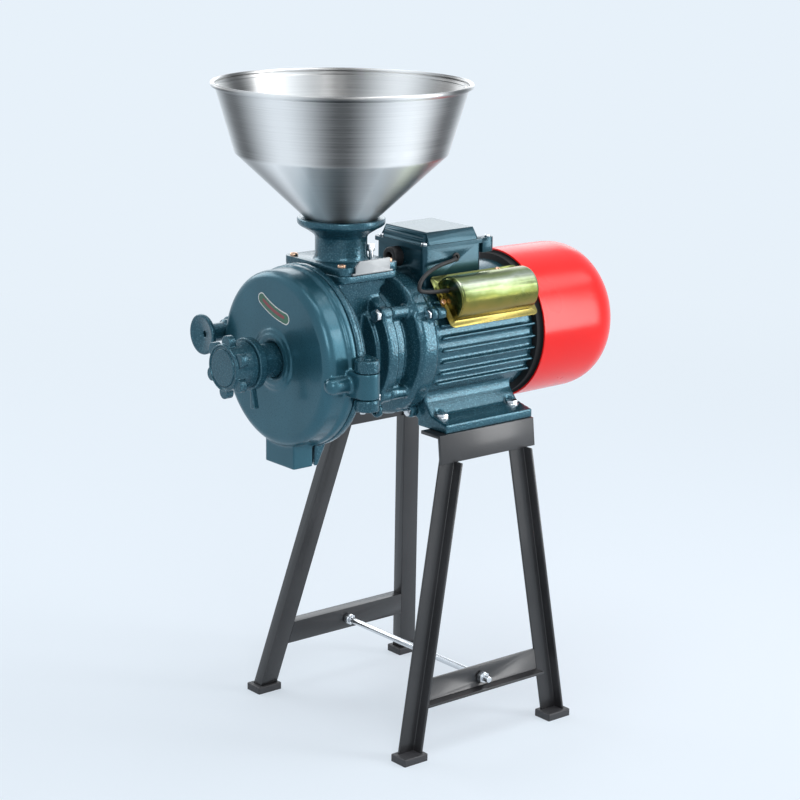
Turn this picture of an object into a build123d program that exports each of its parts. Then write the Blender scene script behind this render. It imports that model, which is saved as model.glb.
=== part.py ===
from build123d import *
from math import atan, cos, degrees, hypot, pi, radians, sin, tan
import os

os.makedirs("parts", exist_ok=True)

# Electric grain mill on a steel stand. Millimetres, +Z up, X along the shaft with the grinding
# head at -X and the fan cowl at +X. "Near" is the -Y side, where the cover's hinge and the
# capacitor are; "far" is +Y. The origin is on the floor, in the middle of the mill's length.

# ---------------------------------------------------------------- clearances
FACE_GAP = 0.2  # between flat faces of pieces that part
RUN_GAP = 0.05  # radial, a shaft or pin in its bore
SEAT_GAP = 0.1  # between curved faces that rest on each other
FREE_GAP = 0.4  # between curved faces that pass each other
BOLT_GAP = 0.3  # radial, a bolt in its hole

# ---------------------------------------------------------------- stand
STAND_HEIGHT = 371.0  # floor to the underside of the motor's feet
SIDE_SPLAY = 6.5  # degrees that each frame leans outwards
FRONT_SPLAY = 14.8  # degrees that the front legs lean forwards
REAR_SPLAY = 5.2  # degrees that the rear legs lean backwards
RAIL_LENGTH = 148.0
RAIL_WIDTH = 34.0  # horizontal flange
RAIL_DEPTH = 34.0  # leaning flange
RAIL_WALL = 4.0
RAIL_LEDGE = 2.4  # rail outside the motor's feet
FRONT_LEG_INSET = 1.0  # leg's edge from the rail's end
REAR_LEG_INSET = 12.0
LEG_WIDTH = 25.0
LEG_FLANGE = 16.0
LEG_WALL = 3.0
CROSSBAR_HEIGHT = 28.0
CROSSBAR_LIFT = 59.0  # floor to the crossbar
TIE_ROD_DIA = 8.0
TIE_ROD_SPOT = 0.5  # share of the crossbar's length
TIE_ROD_END = 9.0  # thread past the nut
PAD_RIM = 5.0
PAD_HEIGHT = 9.0
PAD_SOLE = 4.0

# ---------------------------------------------------------------- fasteners (dia, head or nut)
M8_DIA, M8_ACROSS, M8_HEAD, M8_NUT = 8.0, 13.0, 5.5, 6.5
M6_DIA, M6_HEAD_DIA, M6_HEAD = 6.0, 11.0, 3.3
M5_DIA, M5_HEAD_DIA, M5_HEAD = 5.0, 9.5, 3.0
M4_DIA, M4_HEAD_DIA, M4_HEAD = 4.0, 7.5, 2.6

# ---------------------------------------------------------------- motor
SHAFT_HEIGHT = 96.0  # shaft above the underside of the feet
FRAME_LENGTH = 153.0
FRAME_RADIUS = 80.0
FRAME_BORE = 74.0
FIN_RADIUS = 86.0
FIN_THICKNESS = 3.4
FIN_STEP = 10.0  # degrees
FIN_END_GAP = 7.0  # fin's end from the frame's front
FOOT_LENGTH = 136.0
FOOT_START = 2.0  # from the frame's front
FOOT_HALF_WIDTH = 98.0
FOOT_INNER = 46.0
FOOT_THICKNESS = 10.0  # at its outer edge
FOOT_SEAT_RISE = 3.0  # bolt's seat above the outer edge
FOOT_STEP_HALF = 71.0  # from the middle to the foot of the web's slope
FOOT_STEP_RISE = 6.0
FOOT_WEB_HALF = 58.5
FOOT_WEB_RISE = 21.0  # slope's top above the outer edge
FOOT_BOLT_SPAN = 110.0  # along the shaft
FOOT_BOLT_HALF = 75.0  # from the middle, across
CORE_LENGTH = FRAME_LENGTH - 59.0
CORE_START = 30.0  # from the frame's front
ROTOR_RADIUS = 46.0
AIR_GAP = 0.6
WINDING_LENGTH = 18.0
SHAFT_FRONT_RADIUS = 12.5
SHAFT_BEARING_RADIUS = 15.0
SHAFT_CORE_RADIUS = 18.0
SHAFT_REAR_RADIUS = 12.5
SHAFT_FAN_RADIUS = 9.0
FRONT_BEARING_RADIUS, FRONT_BEARING_WIDTH = 31.0, 16.0
REAR_BEARING_RADIUS, REAR_BEARING_WIDTH = 26.0, 15.0
BEARING_RACE = 4.5
SHIELD_LENGTH = 53.0  # front end shield
SHIELD_NECK = 71.0  # radius of its narrow front
SHIELD_WALL = 6.0
SPIGOT_LENGTH = 6.0
REAR_SHIELD_LENGTH = 20.0
REAR_RING_RADIUS = 87.0
COWL_RADIUS = 92.0
COWL_LENGTH = 145.0
COWL_DOME = 60.0  # length of the domed end
COWL_KNUCKLE = 52.0  # radius of the turn into the dome
COWL_WALL = 2.2
COWL_TAPER = 1.0  # radius lost from the mouth to the dome
COWL_LAP = 12.0  # over the rear end shield
COWL_START = 8.0  # mouth from the frame's rear
COWL_SCREW_TURNS = (60.0, 265.0, 330.0)  # degrees from the far side, upwards
VENT_COUNT = 14
FAN_RADIUS = 76.0
FAN_HUB_RADIUS = 22.0
FAN_WIDTH = 30.0
FAN_BLADES = 8

# ---------------------------------------------------------------- terminal box and capacitor
LUG_UP, LUG_DOWN = 30.0, 62.0  # end shield's bolts, degrees from level
BOX_LENGTH = 90.0
BOX_HALF_WIDTH = 44.0
BOX_START = 9.0  # from the frame's front
BOX_SKIRT = 67.0  # box's lower edge above the shaft
BOX_FLOOR = 90.0  # seat above the shaft
BOX_TOP = 113.0
BOX_WALL = 3.0
BOX_CORNER = 6.0
LID_LAP = 3.0
LID_RIM = 5.0
LID_HEIGHT = 19.0
LID_BEVEL = 6.5
LID_EAR_RADIUS = 6.5
LID_EAR_FRONT, LID_EAR_REAR = -4.5, 13.0  # screw's axis from the box's end
INLET_RADIUS = 12.0
INLET_BORE = 6.05
INLET_COLLAR = 13.0  # bush's length outside the box
INLET_Y = 4.0
INLET_DROP = 14.0  # below the box's top
CAP_ANGLE = 38.5  # degrees above level, near side
CAP_START = 23.0  # from the frame's front
CAP_LENGTH = FRAME_LENGTH - 32.0
CAP_RADIUS = 26.0
CAP_STRAIGHT = 8.0
CAP_SHEET = 1.2
CAP_FLANGE = 8.0
CAP_END_ROUND = 9.0
CAN_RADIUS = 16.0
CAN_LENGTH = CAP_LENGTH - 25.0
LEAD_DIA = 5.0
LEAD_DROP = 13.5  # below the box's top

# ---------------------------------------------------------------- mill housing
HOPPER_TO_FLANGE = 26.0  # hopper's axis to the rear flange's face
SEAM = 57.0  # hopper's axis to the cover's seam
DRUM_DEPTH = 23.0
DRUM_RADIUS = 97.0
DRUM_BORE = 92.0
BACK_WALL = 6.0
DRAIN_LUG_RADIUS, DRAIN_LUG_BORE, DRAIN_LUG_WIDTH = 9.0, 3.0, 6.0
DRAIN_LUG_Y, DRAIN_LUG_Z = -45.0, -68.0  # from the shaft
FLANGE_RADIUS = 106.0
FLANGE_WIDTH = 9.0
BARREL_RADIUS = 36.0
BARREL_BORE = 27.5
BARREL_END = 40.0  # past the hopper's axis
BARREL_LIP = 5.0
REAR_FLANGE_RADIUS = 78.0
REAR_FLANGE_BORE = 58.0
REAR_FLANGE_WIDTH = 22.0
BOLT_CIRCLE = 74.0
BOLT_ANGLE = 40.0
BOSS_RADIUS = 9.0
RIB_THICKNESS = 9.0
PLATE_HALF_LENGTH = 42.0
PLATE_HALF_WIDTH = 56.0
PLATE_SEAT = 98.0  # above the shaft
PLATE_THICKNESS = 10.0
PLATE_CORNER = 9.0
DUCT_RADIUS = 24.0
CHUTE_HALF_WIDTH = 27.0
CHUTE_WALL = 4.0
CHUTE_DROP = 127.0  # below the shaft
CHUTE_FRONT = 31.0  # in front of the seam
CHUTE_BACK = 5.0  # behind the seam, at the mouth
CHUTE_BACK_TOP = 18.0
CHUTE_SLOT = 3.0

# ---------------------------------------------------------------- throat, gate, hopper
THROAT_PLATE = 9.0
NECK_RADIUS = 29.3
NECK_BORE = 25.0
CUP_RADIUS = 51.0
CUP_TOP = 57.0  # cup's rim above the seat
CUP_HEIGHT = 17.0
CUP_EDGE = 5.0
CUP_LIP = 4.5
THROAT_SCREW_X, THROAT_SCREW_Y = 34.0, 45.0
GATE_HALF_WIDTH = 29.0
GATE_THICKNESS = 2.4
GATE_TAB_HALF = 25.0
GATE_TAB_HEIGHT = 16.0
GATE_BACK = 40.0  # closed gate's end past the hopper's axis
LOCK_X, LOCK_Y = 26.0, -23.0
HOPPER_RADIUS = 150.0
HOPPER_HEIGHT = 212.0  # rim above the throat's plate seat
HOPPER_WALL_HEIGHT = 80.0
CREASE_RADIUS = 122.6
CONE_HEIGHT = 91.5
SPIGOT_RADIUS = 24.7
SPIGOT_DEPTH = 20.0
SHEET = 1.0
BEAD_RADIUS = 2.6

# ---------------------------------------------------------------- cover, hinge, clamp
COVER_DEPTH = 40.0
COVER_RADIUS = 102.0
COVER_BORE = 95.0
COVER_FACE = 6.0
COVER_ROUND = 11.0
HUB_RADIUS = 35.0
HUB_HEIGHT = 4.0
HUB_STEP = 29.0
HUB_INNER = 7.0  # hub inside the face
BADGE_LENGTH, BADGE_WIDTH, BADGE_THICKNESS = 62.0, 14.0, 0.4
BADGE_BEND, BADGE_TILT, BADGE_LIFT = 110.0, 20.0, 57.0
PIN_Y = -121.5
PIN_DIA = 8.0
KNUCKLE_RADIUS = 14.3
KNUCKLE_LOW = -41.0  # stack, from the shaft's height
KNUCKLE_MID = -27.0
KNUCKLE_UP = 3.0
KNUCKLE_TOP = 17.5
ARM_RADIUS = 9.5
ARM_REACH = 35.0
CLAMP_Y = 118.0
CLAMP_Z = 10.0  # above the shaft
EAR_RADIUS = 17.0
EAR_THICKNESS = 18.0
LUG_THICKNESS = 12.0
CLAMP_DIA = 10.0
CLAMP_SLACK = 0.9  # radial, in the housing's lug
CLAMP_KNOB_LENGTH = 40.0
CLAMP_KNOB_RADIUS = 24.0
CLAMP_NECK_RADIUS = 11.0

# ---------------------------------------------------------------- grinding and adjustment
DISC_RADIUS = 78.0
DISC_THICKNESS = 10.0
DISC_GAP = 0.6
DISC_EYE = 28.0
DISC_GROOVES = 18
DISC_HUB_RADIUS = 22.0
DISC_HUB = 11.0
HUB_CROWN = 5.0
AUGER_RADIUS = 26.0
AUGER_CORE = 18.0
AUGER_PITCH = 30.0
FLIGHT_THICKNESS = 6.0
FLIGHT_STEPS = 16  # wedges per turn of the flight
SLEEVE_RADIUS = 20.0
SLEEVE_LENGTH = 66.0
THRUST_RADIUS = 10.0
BALL_RADIUS = 5.0
LOCK_STANDOFF = 25.5  # lock ring from the hub
LOCK_WIDTH = 9.7
LOCK_RADIUS = 30.0
LOCK_LEVER = 46.0
LEVER_WIDTH = 8.0
KNOB_RADIUS = 27.0
KNOB_LENGTH = 31.5
KNOB_WALL = 16.0
LOBE_CIRCLE = 29.0
LOBE_RADIUS = 8.0
LOBE_THICKNESS = 9.0
LOBE_SETBACK = 3.0
LOBE_COUNT = 6
LOBE_PHASE = 35.0

# ---------------------------------------------------------------- stations along the shaft
knob_reach = LOCK_STANDOFF + LOCK_WIDTH + FACE_GAP + KNOB_LENGTH
front_reach = SEAM + COVER_DEPTH + HUB_HEIGHT + knob_reach
rear_reach = HOPPER_TO_FLANGE + SHIELD_LENGTH + FRAME_LENGTH + COWL_START + COWL_LENGTH
hopper_x = (front_reach - rear_reach) / 2
seam_x = hopper_x - SEAM
face_x = seam_x - COVER_DEPTH
hub_x = face_x - HUB_HEIGHT
lock_x = hub_x - LOCK_STANDOFF - LOCK_WIDTH
knob_back_x = lock_x - FACE_GAP
knob_front_x = knob_back_x - KNOB_LENGTH
drum_back_x = seam_x + DRUM_DEPTH
wall_x = drum_back_x - BACK_WALL
shield_x = hopper_x + HOPPER_TO_FLANGE
frame_x = shield_x + SHIELD_LENGTH
frame_end_x = frame_x + FRAME_LENGTH
cowl_x = frame_end_x + COWL_START
cowl_end_x = cowl_x + COWL_LENGTH
foot_x = frame_x + FOOT_START
foot_end_x = foot_x + FOOT_LENGTH
foot_mid_x = foot_x + FOOT_LENGTH / 2

axis_z = STAND_HEIGHT + SHAFT_HEIGHT
seat_z = axis_z + PLATE_SEAT
shaft_axis = Axis((0, 0, axis_z), (1, 0, 0))
side_plane = Plane(origin=(0, 0, axis_z), x_dir=(1, 0, 0), z_dir=(0, -1, 0))


def cross_plane(x):
    """Plane across the shaft at x: its own x runs along +Y and its own y along +Z."""
    return Plane(origin=(x, 0, axis_z), x_dir=(0, 1, 0), z_dir=(1, 0, 0))


def turned_face(points):
    """Face with corners (x, radius), ready to be turned round the shaft's axis."""
    with BuildSketch(side_plane) as face:
        with BuildLine():
            Polyline(points, close=True)
        make_face()
    return face.sketch


def disc_face(x, radius, bore=0.0, y=0.0, z=0.0):
    """Round face across the shaft at x, with its centre at (y, z) from the shaft."""
    with BuildSketch(cross_plane(x)) as face:
        with Locations((y, z)):
            Circle(radius)
            if bore:
                Circle(bore, mode=Mode.SUBTRACT)
    return face.sketch


def outline(plane, points):
    """Flat face on a plane with straight edges between the points."""
    with BuildSketch(plane) as face:
        with BuildLine():
            Polyline(points, close=True)
        make_face()
    return face.sketch


def hexagon(plane, across):
    """Hexagonal face for a bolt head or nut, centred on a plane."""
    with BuildSketch(plane) as face:
        RegularPolygon(radius=across / 2, side_count=6, major_radius=False)
    return face.sketch


def round_face(plane, radius, bore=0.0):
    """Round face centred on a plane, with a hole when bore is given."""
    with BuildSketch(plane) as face:
        Circle(radius)
        if bore:
            Circle(bore, mode=Mode.SUBTRACT)
    return face.sketch


def pan_head_screw(plane, dia, head_dia, head, length):
    """Screw whose head stands on the plane, with its shank going below it."""
    with BuildPart() as screw:
        extrude(round_face(plane, dia / 2), amount=-length)
        extrude(round_face(plane, head_dia / 2), amount=head)
        fillet(screw.faces().sort_by(Axis(plane.origin, plane.z_dir))[-1].edges(), head * 0.6)
        with BuildSketch(plane.offset(head)):
            Rectangle(head_dia * 0.55, head_dia * 0.13)
            Rectangle(head_dia * 0.13, head_dia * 0.55)
        extrude(amount=-head * 0.5, mode=Mode.SUBTRACT)
    return screw.part


def hex_bolt(plane, length):
    """M8 bolt whose head stands on the plane, with its shank going below it."""
    with BuildPart() as bolt:
        extrude(round_face(plane, M8_DIA / 2), amount=-length)
        extrude(hexagon(plane, M8_ACROSS), amount=M8_HEAD)
    return bolt.part


# ================================================================ stand
rail_end_x = foot_end_x
rail_x = rail_end_x - RAIL_LENGTH
rail_half = FOOT_HALF_WIDTH + RAIL_LEDGE  # rail's outer top edge from the middle
rail_under = STAND_HEIGHT - RAIL_WALL
rail_foot = STAND_HEIGHT - RAIL_DEPTH
lean = tan(radians(SIDE_SPLAY))


def plate_y(z):
    """Outer face of the legs' and crossbars' wide plates, from the middle, at height z."""
    return rail_half - RAIL_WALL + lean * (STAND_HEIGHT - z)


def rail(side):
    """Top angle iron of one frame; side is -1 near and 1 far."""
    foot = rail_half + lean * RAIL_DEPTH
    section = [
        (side * (rail_half - RAIL_WIDTH), STAND_HEIGHT),
        (side * rail_half, STAND_HEIGHT),
        (side * foot, rail_foot),
        (side * (foot - RAIL_WALL), rail_foot),
        (side * (rail_half - RAIL_WALL + lean * RAIL_WALL), rail_under),
        (side * (rail_half - RAIL_WIDTH), rail_under),
    ]
    bolt_x = (foot_mid_x - FOOT_BOLT_SPAN / 2, foot_mid_x + FOOT_BOLT_SPAN / 2)
    bolt_y = side * FOOT_BOLT_HALF
    with BuildPart() as bar:
        extrude(outline(Plane.YZ.offset(rail_x), section), amount=RAIL_LENGTH)
        with Locations([(x, bolt_y, STAND_HEIGHT - RAIL_WALL / 2) for x in bolt_x]):
            Hole(radius=M8_DIA / 2 + BOLT_GAP, depth=RAIL_WALL)
    return bar.part


def leg_section(side, flange_end, left_x, z, grow=0.0):
    """Horizontal L section of a leg at height z; the flange is at the right or left edge."""
    outer = plate_y(z)
    right_x = left_x + LEG_WIDTH
    flange_x = right_x - LEG_WALL if flange_end > 0 else left_x
    flange_y = outer - LEG_WALL + LEG_FLANGE
    with BuildSketch(Plane.XY.offset(z)) as section:
        with BuildLine():
            Polyline(
                (left_x, side * (outer - LEG_WALL)),
                (right_x, side * (outer - LEG_WALL)),
                (right_x, side * outer),
                (left_x, side * outer),
                close=True,
            )
        make_face()
        with BuildLine():
            Polyline(
                (flange_x, side * (outer - LEG_WALL)),
                (flange_x + LEG_WALL, side * (outer - LEG_WALL)),
                (flange_x + LEG_WALL, side * flange_y),
                (flange_x, side * flange_y),
                close=True,
            )
        make_face()
        if grow:
            offset(amount=grow, kind=Kind.INTERSECTION)
    return section.sketch


front_top_x = rail_x + FRONT_LEG_INSET
rear_top_x = rail_end_x - REAR_LEG_INSET - LEG_WIDTH
front_run = tan(radians(FRONT_SPLAY))
rear_run = -tan(radians(REAR_SPLAY))


def leg_left(top_x, run, z):
    """Left edge of a leg at height z; it stands at top_x under the rail."""
    return top_x - run * (rail_foot - z)


def leg_rise(side, run):
    """Direction of a leg for a rise of one."""
    return Vector(run, -side * lean, 1)


def leg(side, flange_end, top_x, run):
    """Angle-iron leg from the pad's sole to the underside of the rail."""
    rise = leg_rise(side, run)
    section = leg_section(side, flange_end, leg_left(top_x, run, PAD_SOLE), PAD_SOLE)
    with BuildPart() as iron:
        extrude(section, amount=(rail_under - PAD_SOLE) * rise.length, dir=rise.normalized())
        with BuildSketch(Plane.YZ.offset(rail_x - LEG_WIDTH)):
            with BuildLine():
                Polyline(
                    (side * plate_y(rail_foot), rail_foot),
                    (side * plate_y(rail_under), rail_under),
                    (side * plate_y(rail_under), STAND_HEIGHT),
                    (side * (plate_y(rail_foot) + LEG_FLANGE * 2), STAND_HEIGHT),
                    (side * (plate_y(rail_foot) + LEG_FLANGE * 2), rail_foot),
                    close=True,
                )
            make_face()
        extrude(amount=RAIL_LENGTH + 2 * LEG_WIDTH, mode=Mode.SUBTRACT)
    return iron.part


def foot_pad(side, flange_end, top_x, run):
    """Plastic shoe with an L-shaped pocket for the leg's end."""
    left_x = leg_left(top_x, run, PAD_SOLE)
    rise = leg_rise(side, run)
    pocket = leg_section(side, flange_end, left_x, PAD_SOLE, grow=SEAT_GAP)
    inner = plate_y(PAD_SOLE) - LEG_WALL
    with BuildPart() as pad:
        with BuildSketch():
            with Locations((left_x + LEG_WIDTH / 2, side * (inner + LEG_FLANGE / 2))):
                RectangleRounded(LEG_WIDTH + 2 * PAD_RIM, LEG_FLANGE + 2 * PAD_RIM, 1.5)
        extrude(amount=PAD_HEIGHT)
        chamfer(pad.faces().sort_by(Axis.Z)[-1].outer_wire().edges(), 0.8)
        extrude(pocket, amount=PAD_HEIGHT * rise.length, dir=rise.normalized(), mode=Mode.SUBTRACT)
    return pad.part


def leg_side_plane(x, side, run, facing):
    """Plane of a leg's side face through x under the rail, facing along +X or -X."""
    normal = leg_rise(side, run).cross(Vector(0, 1, 0)) * -facing
    return Plane(origin=(x, side * plate_y(rail_foot), rail_foot), z_dir=normal)


def crossbar(side):
    """Low angle iron between two legs: its flange is below on the near side, above on the far."""
    low, high = CROSSBAR_LIFT, CROSSBAR_LIFT + CROSSBAR_HEIGHT
    shelf = low if side < 0 else high - LEG_WALL
    shelf_out = plate_y(shelf) - LEG_WALL + LEG_FLANGE
    hole_x = (front_top_x + rear_top_x + LEG_WIDTH) / 2
    with BuildPart() as bar:
        with BuildSketch(Plane.YZ.offset(rail_x - RAIL_LENGTH)):
            with BuildLine():
                Polyline(
                    (side * (plate_y(low) - LEG_WALL), low),
                    (side * plate_y(low), low),
                    (side * plate_y(high), high),
                    (side * (plate_y(high) - LEG_WALL), high),
                    close=True,
                )
            make_face()
            with BuildLine():
                Polyline(
                    (side * plate_y(shelf), shelf),
                    (side * shelf_out, shelf),
                    (side * shelf_out, shelf + LEG_WALL),
                    (side * plate_y(shelf + LEG_WALL), shelf + LEG_WALL),
                    close=True,
                )
            make_face()
        extrude(amount=RAIL_LENGTH * 3)
        split(bisect_by=leg_side_plane(front_top_x + LEG_WIDTH, side, front_run, 1))
        split(bisect_by=leg_side_plane(rear_top_x, side, rear_run, -1))
        with Locations(Plane(origin=(tie_x, 0, tie_z), z_dir=(0, 1, 0))):
            Hole(radius=TIE_ROD_DIA / 2 + BOLT_GAP, depth=plate_y(0) * 1.2)
    return bar.part


tie_z = CROSSBAR_LIFT + CROSSBAR_HEIGHT / 2
tie_left = leg_left(front_top_x, front_run, tie_z) + LEG_WIDTH
tie_right = leg_left(rear_top_x, rear_run, tie_z)
tie_x = tie_left + TIE_ROD_SPOT * (tie_right - tie_left)

for node, side in (("near_rail", -1), ("far_rail", 1)):
    bar = rail(side)
    bar.label = node
    export_step(bar, f"parts/{node}.step")

legs = {
    "near_front_leg": (-1, 1, front_top_x, front_run),
    "near_rear_leg": (-1, 1, rear_top_x, rear_run),
    "far_front_leg": (1, -1, front_top_x, front_run),
    "far_rear_leg": (1, -1, rear_top_x, rear_run),
}
for node, place in legs.items():
    iron = leg(*place)
    iron.label = node
    export_step(iron, f"parts/{node}.step")

with BuildPart() as foot_pads:
    for place in legs.values():
        add(foot_pad(*place))
foot_pads.part.label = "foot_pads"
export_step(foot_pads.part, "parts/foot_pads.step")

for node, side in (("near_crossbar", -1), ("far_crossbar", 1)):
    bar = crossbar(side)
    bar.label = node
    export_step(bar, f"parts/{node}.step")

nut_tilt = lean * M8_ACROSS * 0.6  # the crossbar leans, so a nut touches at one edge
tie_nut_out = plate_y(tie_z) + nut_tilt
tie_nut_in = plate_y(tie_z) - LEG_WALL - nut_tilt
tie_half = tie_nut_out + M8_NUT + TIE_ROD_END

with BuildPart() as tie_rod:
    rod_plane = Plane(origin=(tie_x, -tie_half, tie_z), z_dir=(0, 1, 0))
    extrude(round_face(rod_plane, TIE_ROD_DIA / 2), amount=2 * tie_half)
    chamfer(tie_rod.edges().filter_by(GeomType.CIRCLE), 0.8)
tie_rod.part.label = "tie_rod"
export_step(tie_rod.part, "parts/tie_rod.step")

with BuildPart() as tie_rod_nuts:
    for start in (-tie_nut_out - M8_NUT, -tie_nut_in, tie_nut_in - M8_NUT, tie_nut_out):
        nut_plane = Plane(origin=(tie_x, start, tie_z), z_dir=(0, 1, 0))
        extrude(hexagon(nut_plane, M8_ACROSS), amount=M8_NUT)
        bore = round_face(nut_plane, TIE_ROD_DIA / 2 + RUN_GAP)
        extrude(bore, amount=M8_NUT, mode=Mode.SUBTRACT)
tie_rod_nuts.part.label = "tie_rod_nuts"
export_step(tie_rod_nuts.part, "parts/tie_rod_nuts.step")

foot_top = STAND_HEIGHT + FOOT_THICKNESS
foot_seat_z = foot_top + FOOT_SEAT_RISE
foot_bolt_spots = [
    (foot_mid_x + end * FOOT_BOLT_SPAN / 2, side * FOOT_BOLT_HALF)
    for end in (-1, 1)
    for side in (-1, 1)
]
bolt_length = FOOT_THICKNESS + FOOT_SEAT_RISE + RAIL_WALL + M8_NUT + 3

with BuildPart() as foot_bolts:
    for x, y in foot_bolt_spots:
        add(hex_bolt(Plane(origin=(x, y, foot_seat_z)), bolt_length))
foot_bolts.part.label = "foot_bolts"
export_step(foot_bolts.part, "parts/foot_bolts.step")

with BuildPart() as foot_nuts:
    for x, y in foot_bolt_spots:
        nut_plane = Plane(origin=(x, y, rail_under - M8_NUT))
        extrude(hexagon(nut_plane, M8_ACROSS), amount=M8_NUT)
        extrude(round_face(nut_plane, M8_DIA / 2 + RUN_GAP), amount=M8_NUT, mode=Mode.SUBTRACT)
foot_nuts.part.label = "foot_nuts"
export_step(foot_nuts.part, "parts/foot_nuts.step")

# ================================================================ motor
box_x = frame_x + BOX_START
cap_x = frame_x + CAP_START
cap_up = radians(CAP_ANGLE)
cap_seat = FIN_RADIUS + SEAT_GAP  # cover's foot from the shaft's axis
cap_plane = Plane(
    origin=(cap_x, -cap_seat * cos(cap_up), axis_z + cap_seat * sin(cap_up)),
    x_dir=(0, sin(cap_up), cos(cap_up)),
    z_dir=(1, 0, 0),
)
cap_screw_spots = ((-CAP_FLANGE / 2, 0.0), (CAP_LENGTH * 0.8, CAP_RADIUS + CAP_FLANGE / 2))


def cap_base(x, across):
    """Plane on the capacitor cover's foot, facing outwards, at x along it and across it."""
    spot = cap_plane.from_local_coords((across, 0, x))
    return Plane(origin=spot, x_dir=(1, 0, 0), z_dir=cap_plane.y_dir)


lug_circle = FIN_RADIUS + 3
lug_spots = [
    (lug_circle * cos(radians(a)), lug_circle * sin(radians(a)))
    for a in (LUG_UP, 180 - LUG_UP, 180 + LUG_DOWN, -LUG_DOWN)
]
LUG_RADIUS, LUG_DEPTH = 7.5, 9.0

foot_section = [
    (FOOT_INNER, STAND_HEIGHT - axis_z),
    (FOOT_HALF_WIDTH, STAND_HEIGHT - axis_z),
    (FOOT_HALF_WIDTH, foot_top - axis_z),
    (FOOT_STEP_HALF, foot_top + FOOT_STEP_RISE - axis_z),
    (FOOT_WEB_HALF, foot_top + FOOT_WEB_RISE - axis_z),
    (FRAME_RADIUS * 0.72, -FRAME_RADIUS * 0.66),
    (FOOT_INNER * 0.9, -FRAME_RADIUS * 0.7),
]
with BuildPart() as motor_frame:
    extrude(disc_face(frame_x, FRAME_RADIUS), amount=FRAME_LENGTH)
    for side in (-1, 1):
        foot = outline(cross_plane(foot_x), [(side * y, z) for y, z in foot_section])
        extrude(foot, amount=FOOT_LENGTH)
    fin_angles = [
        step * FIN_STEP
        for step in range(round(360 / FIN_STEP))
        if cos(radians(step * FIN_STEP - 90)) < 0.86 and sin(radians(step * FIN_STEP)) > -0.6
    ]
    with BuildSketch(cross_plane(frame_x + FIN_END_GAP)):
        for angle in fin_angles:
            with PolarLocations((FRAME_RADIUS + FIN_RADIUS) / 2 - 1, 1, start_angle=angle):
                Rectangle(FIN_RADIUS - FRAME_RADIUS + 2, FIN_THICKNESS)
    extrude(amount=FRAME_LENGTH - FIN_END_GAP)
    with BuildSketch(Plane.XY.offset(axis_z + BOX_FLOOR)):
        with Locations((box_x + BOX_LENGTH / 2, 0)):
            Rectangle(BOX_LENGTH * 0.8, BOX_HALF_WIDTH * 1.4)
    extrude(amount=-(BOX_FLOOR - FRAME_RADIUS * 0.8))
    for x, across in cap_screw_spots:
        extrude(round_face(cap_base(x, across), CAP_FLANGE / 2), amount=-FRAME_RADIUS * 0.3)
    for y, z in lug_spots:
        extrude(disc_face(frame_x, LUG_RADIUS, 0, y, z), amount=LUG_DEPTH + 3)
    extrude(disc_face(frame_x, FRAME_BORE), amount=FRAME_LENGTH, mode=Mode.SUBTRACT)
    for x, across in cap_screw_spots:
        hole = round_face(cap_base(x, across), M4_DIA / 2 + RUN_GAP)
        extrude(hole, amount=-M4_DIA * 2, mode=Mode.SUBTRACT)
    for y, z in lug_spots:
        hole = disc_face(frame_x, M5_DIA / 2 + RUN_GAP, 0, y, z)
        extrude(hole, amount=LUG_DEPTH, mode=Mode.SUBTRACT)
    with Locations([(x, y, foot_seat_z) for x, y in foot_bolt_spots]):
        Hole(radius=M8_DIA / 2 + BOLT_GAP, depth=foot_seat_z - STAND_HEIGHT)
        Cylinder(
            radius=M8_ACROSS * 0.7,
            height=FOOT_WEB_RISE,
            align=(Align.CENTER, Align.CENTER, Align.MIN),
            mode=Mode.SUBTRACT,
        )
motor_frame.part.label = "motor_frame"
export_step(motor_frame.part, "parts/motor_frame.step")

core_x = frame_x + CORE_START
core_end_x = core_x + CORE_LENGTH
slot_radius = ROTOR_RADIUS + AIR_GAP

with BuildPart() as stator_core:
    extrude(disc_face(core_x, FRAME_BORE - RUN_GAP, slot_radius), amount=CORE_LENGTH)
stator_core.part.label = "stator_core"
export_step(stator_core.part, "parts/stator_core.step")

with BuildPart() as stator_windings:
    for start in (core_x - WINDING_LENGTH, core_end_x):
        coil = disc_face(start, FRAME_BORE * 0.92, slot_radius + AIR_GAP * 4)
        extrude(coil, amount=WINDING_LENGTH)
    fillet(stator_windings.edges().filter_by(GeomType.CIRCLE), WINDING_LENGTH * 0.25)
stator_windings.part.label = "stator_windings"
export_step(stator_windings.part, "parts/stator_windings.step")

with BuildPart() as rotor_core:
    extrude(disc_face(core_x, ROTOR_RADIUS, SHAFT_CORE_RADIUS + RUN_GAP), amount=CORE_LENGTH)
    for start in (core_x - WINDING_LENGTH / 2, core_end_x):
        ring = disc_face(start, ROTOR_RADIUS * 0.93, ROTOR_RADIUS * 0.68)
        extrude(ring, amount=WINDING_LENGTH / 2)
rotor_core.part.label = "rotor_core"
export_step(rotor_core.part, "parts/rotor_core.step")

# Mill end of the shaft: fixed disc on the wall, moving disc in front of it, hub, ball, pin.
fixed_face_x = wall_x - DISC_THICKNESS
moving_back_x = fixed_face_x - DISC_GAP
moving_front_x = moving_back_x - DISC_THICKNESS
disc_hub_x = moving_front_x - DISC_HUB
shaft_end_x = disc_hub_x + HUB_CROWN + FREE_GAP * 2
front_bearing_x = frame_x - FRONT_BEARING_WIDTH - 3
rear_bearing_x = frame_end_x + 2
fan_x = frame_end_x + REAR_SHIELD_LENGTH + 10
shaft_rear_x = fan_x + FAN_WIDTH

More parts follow.
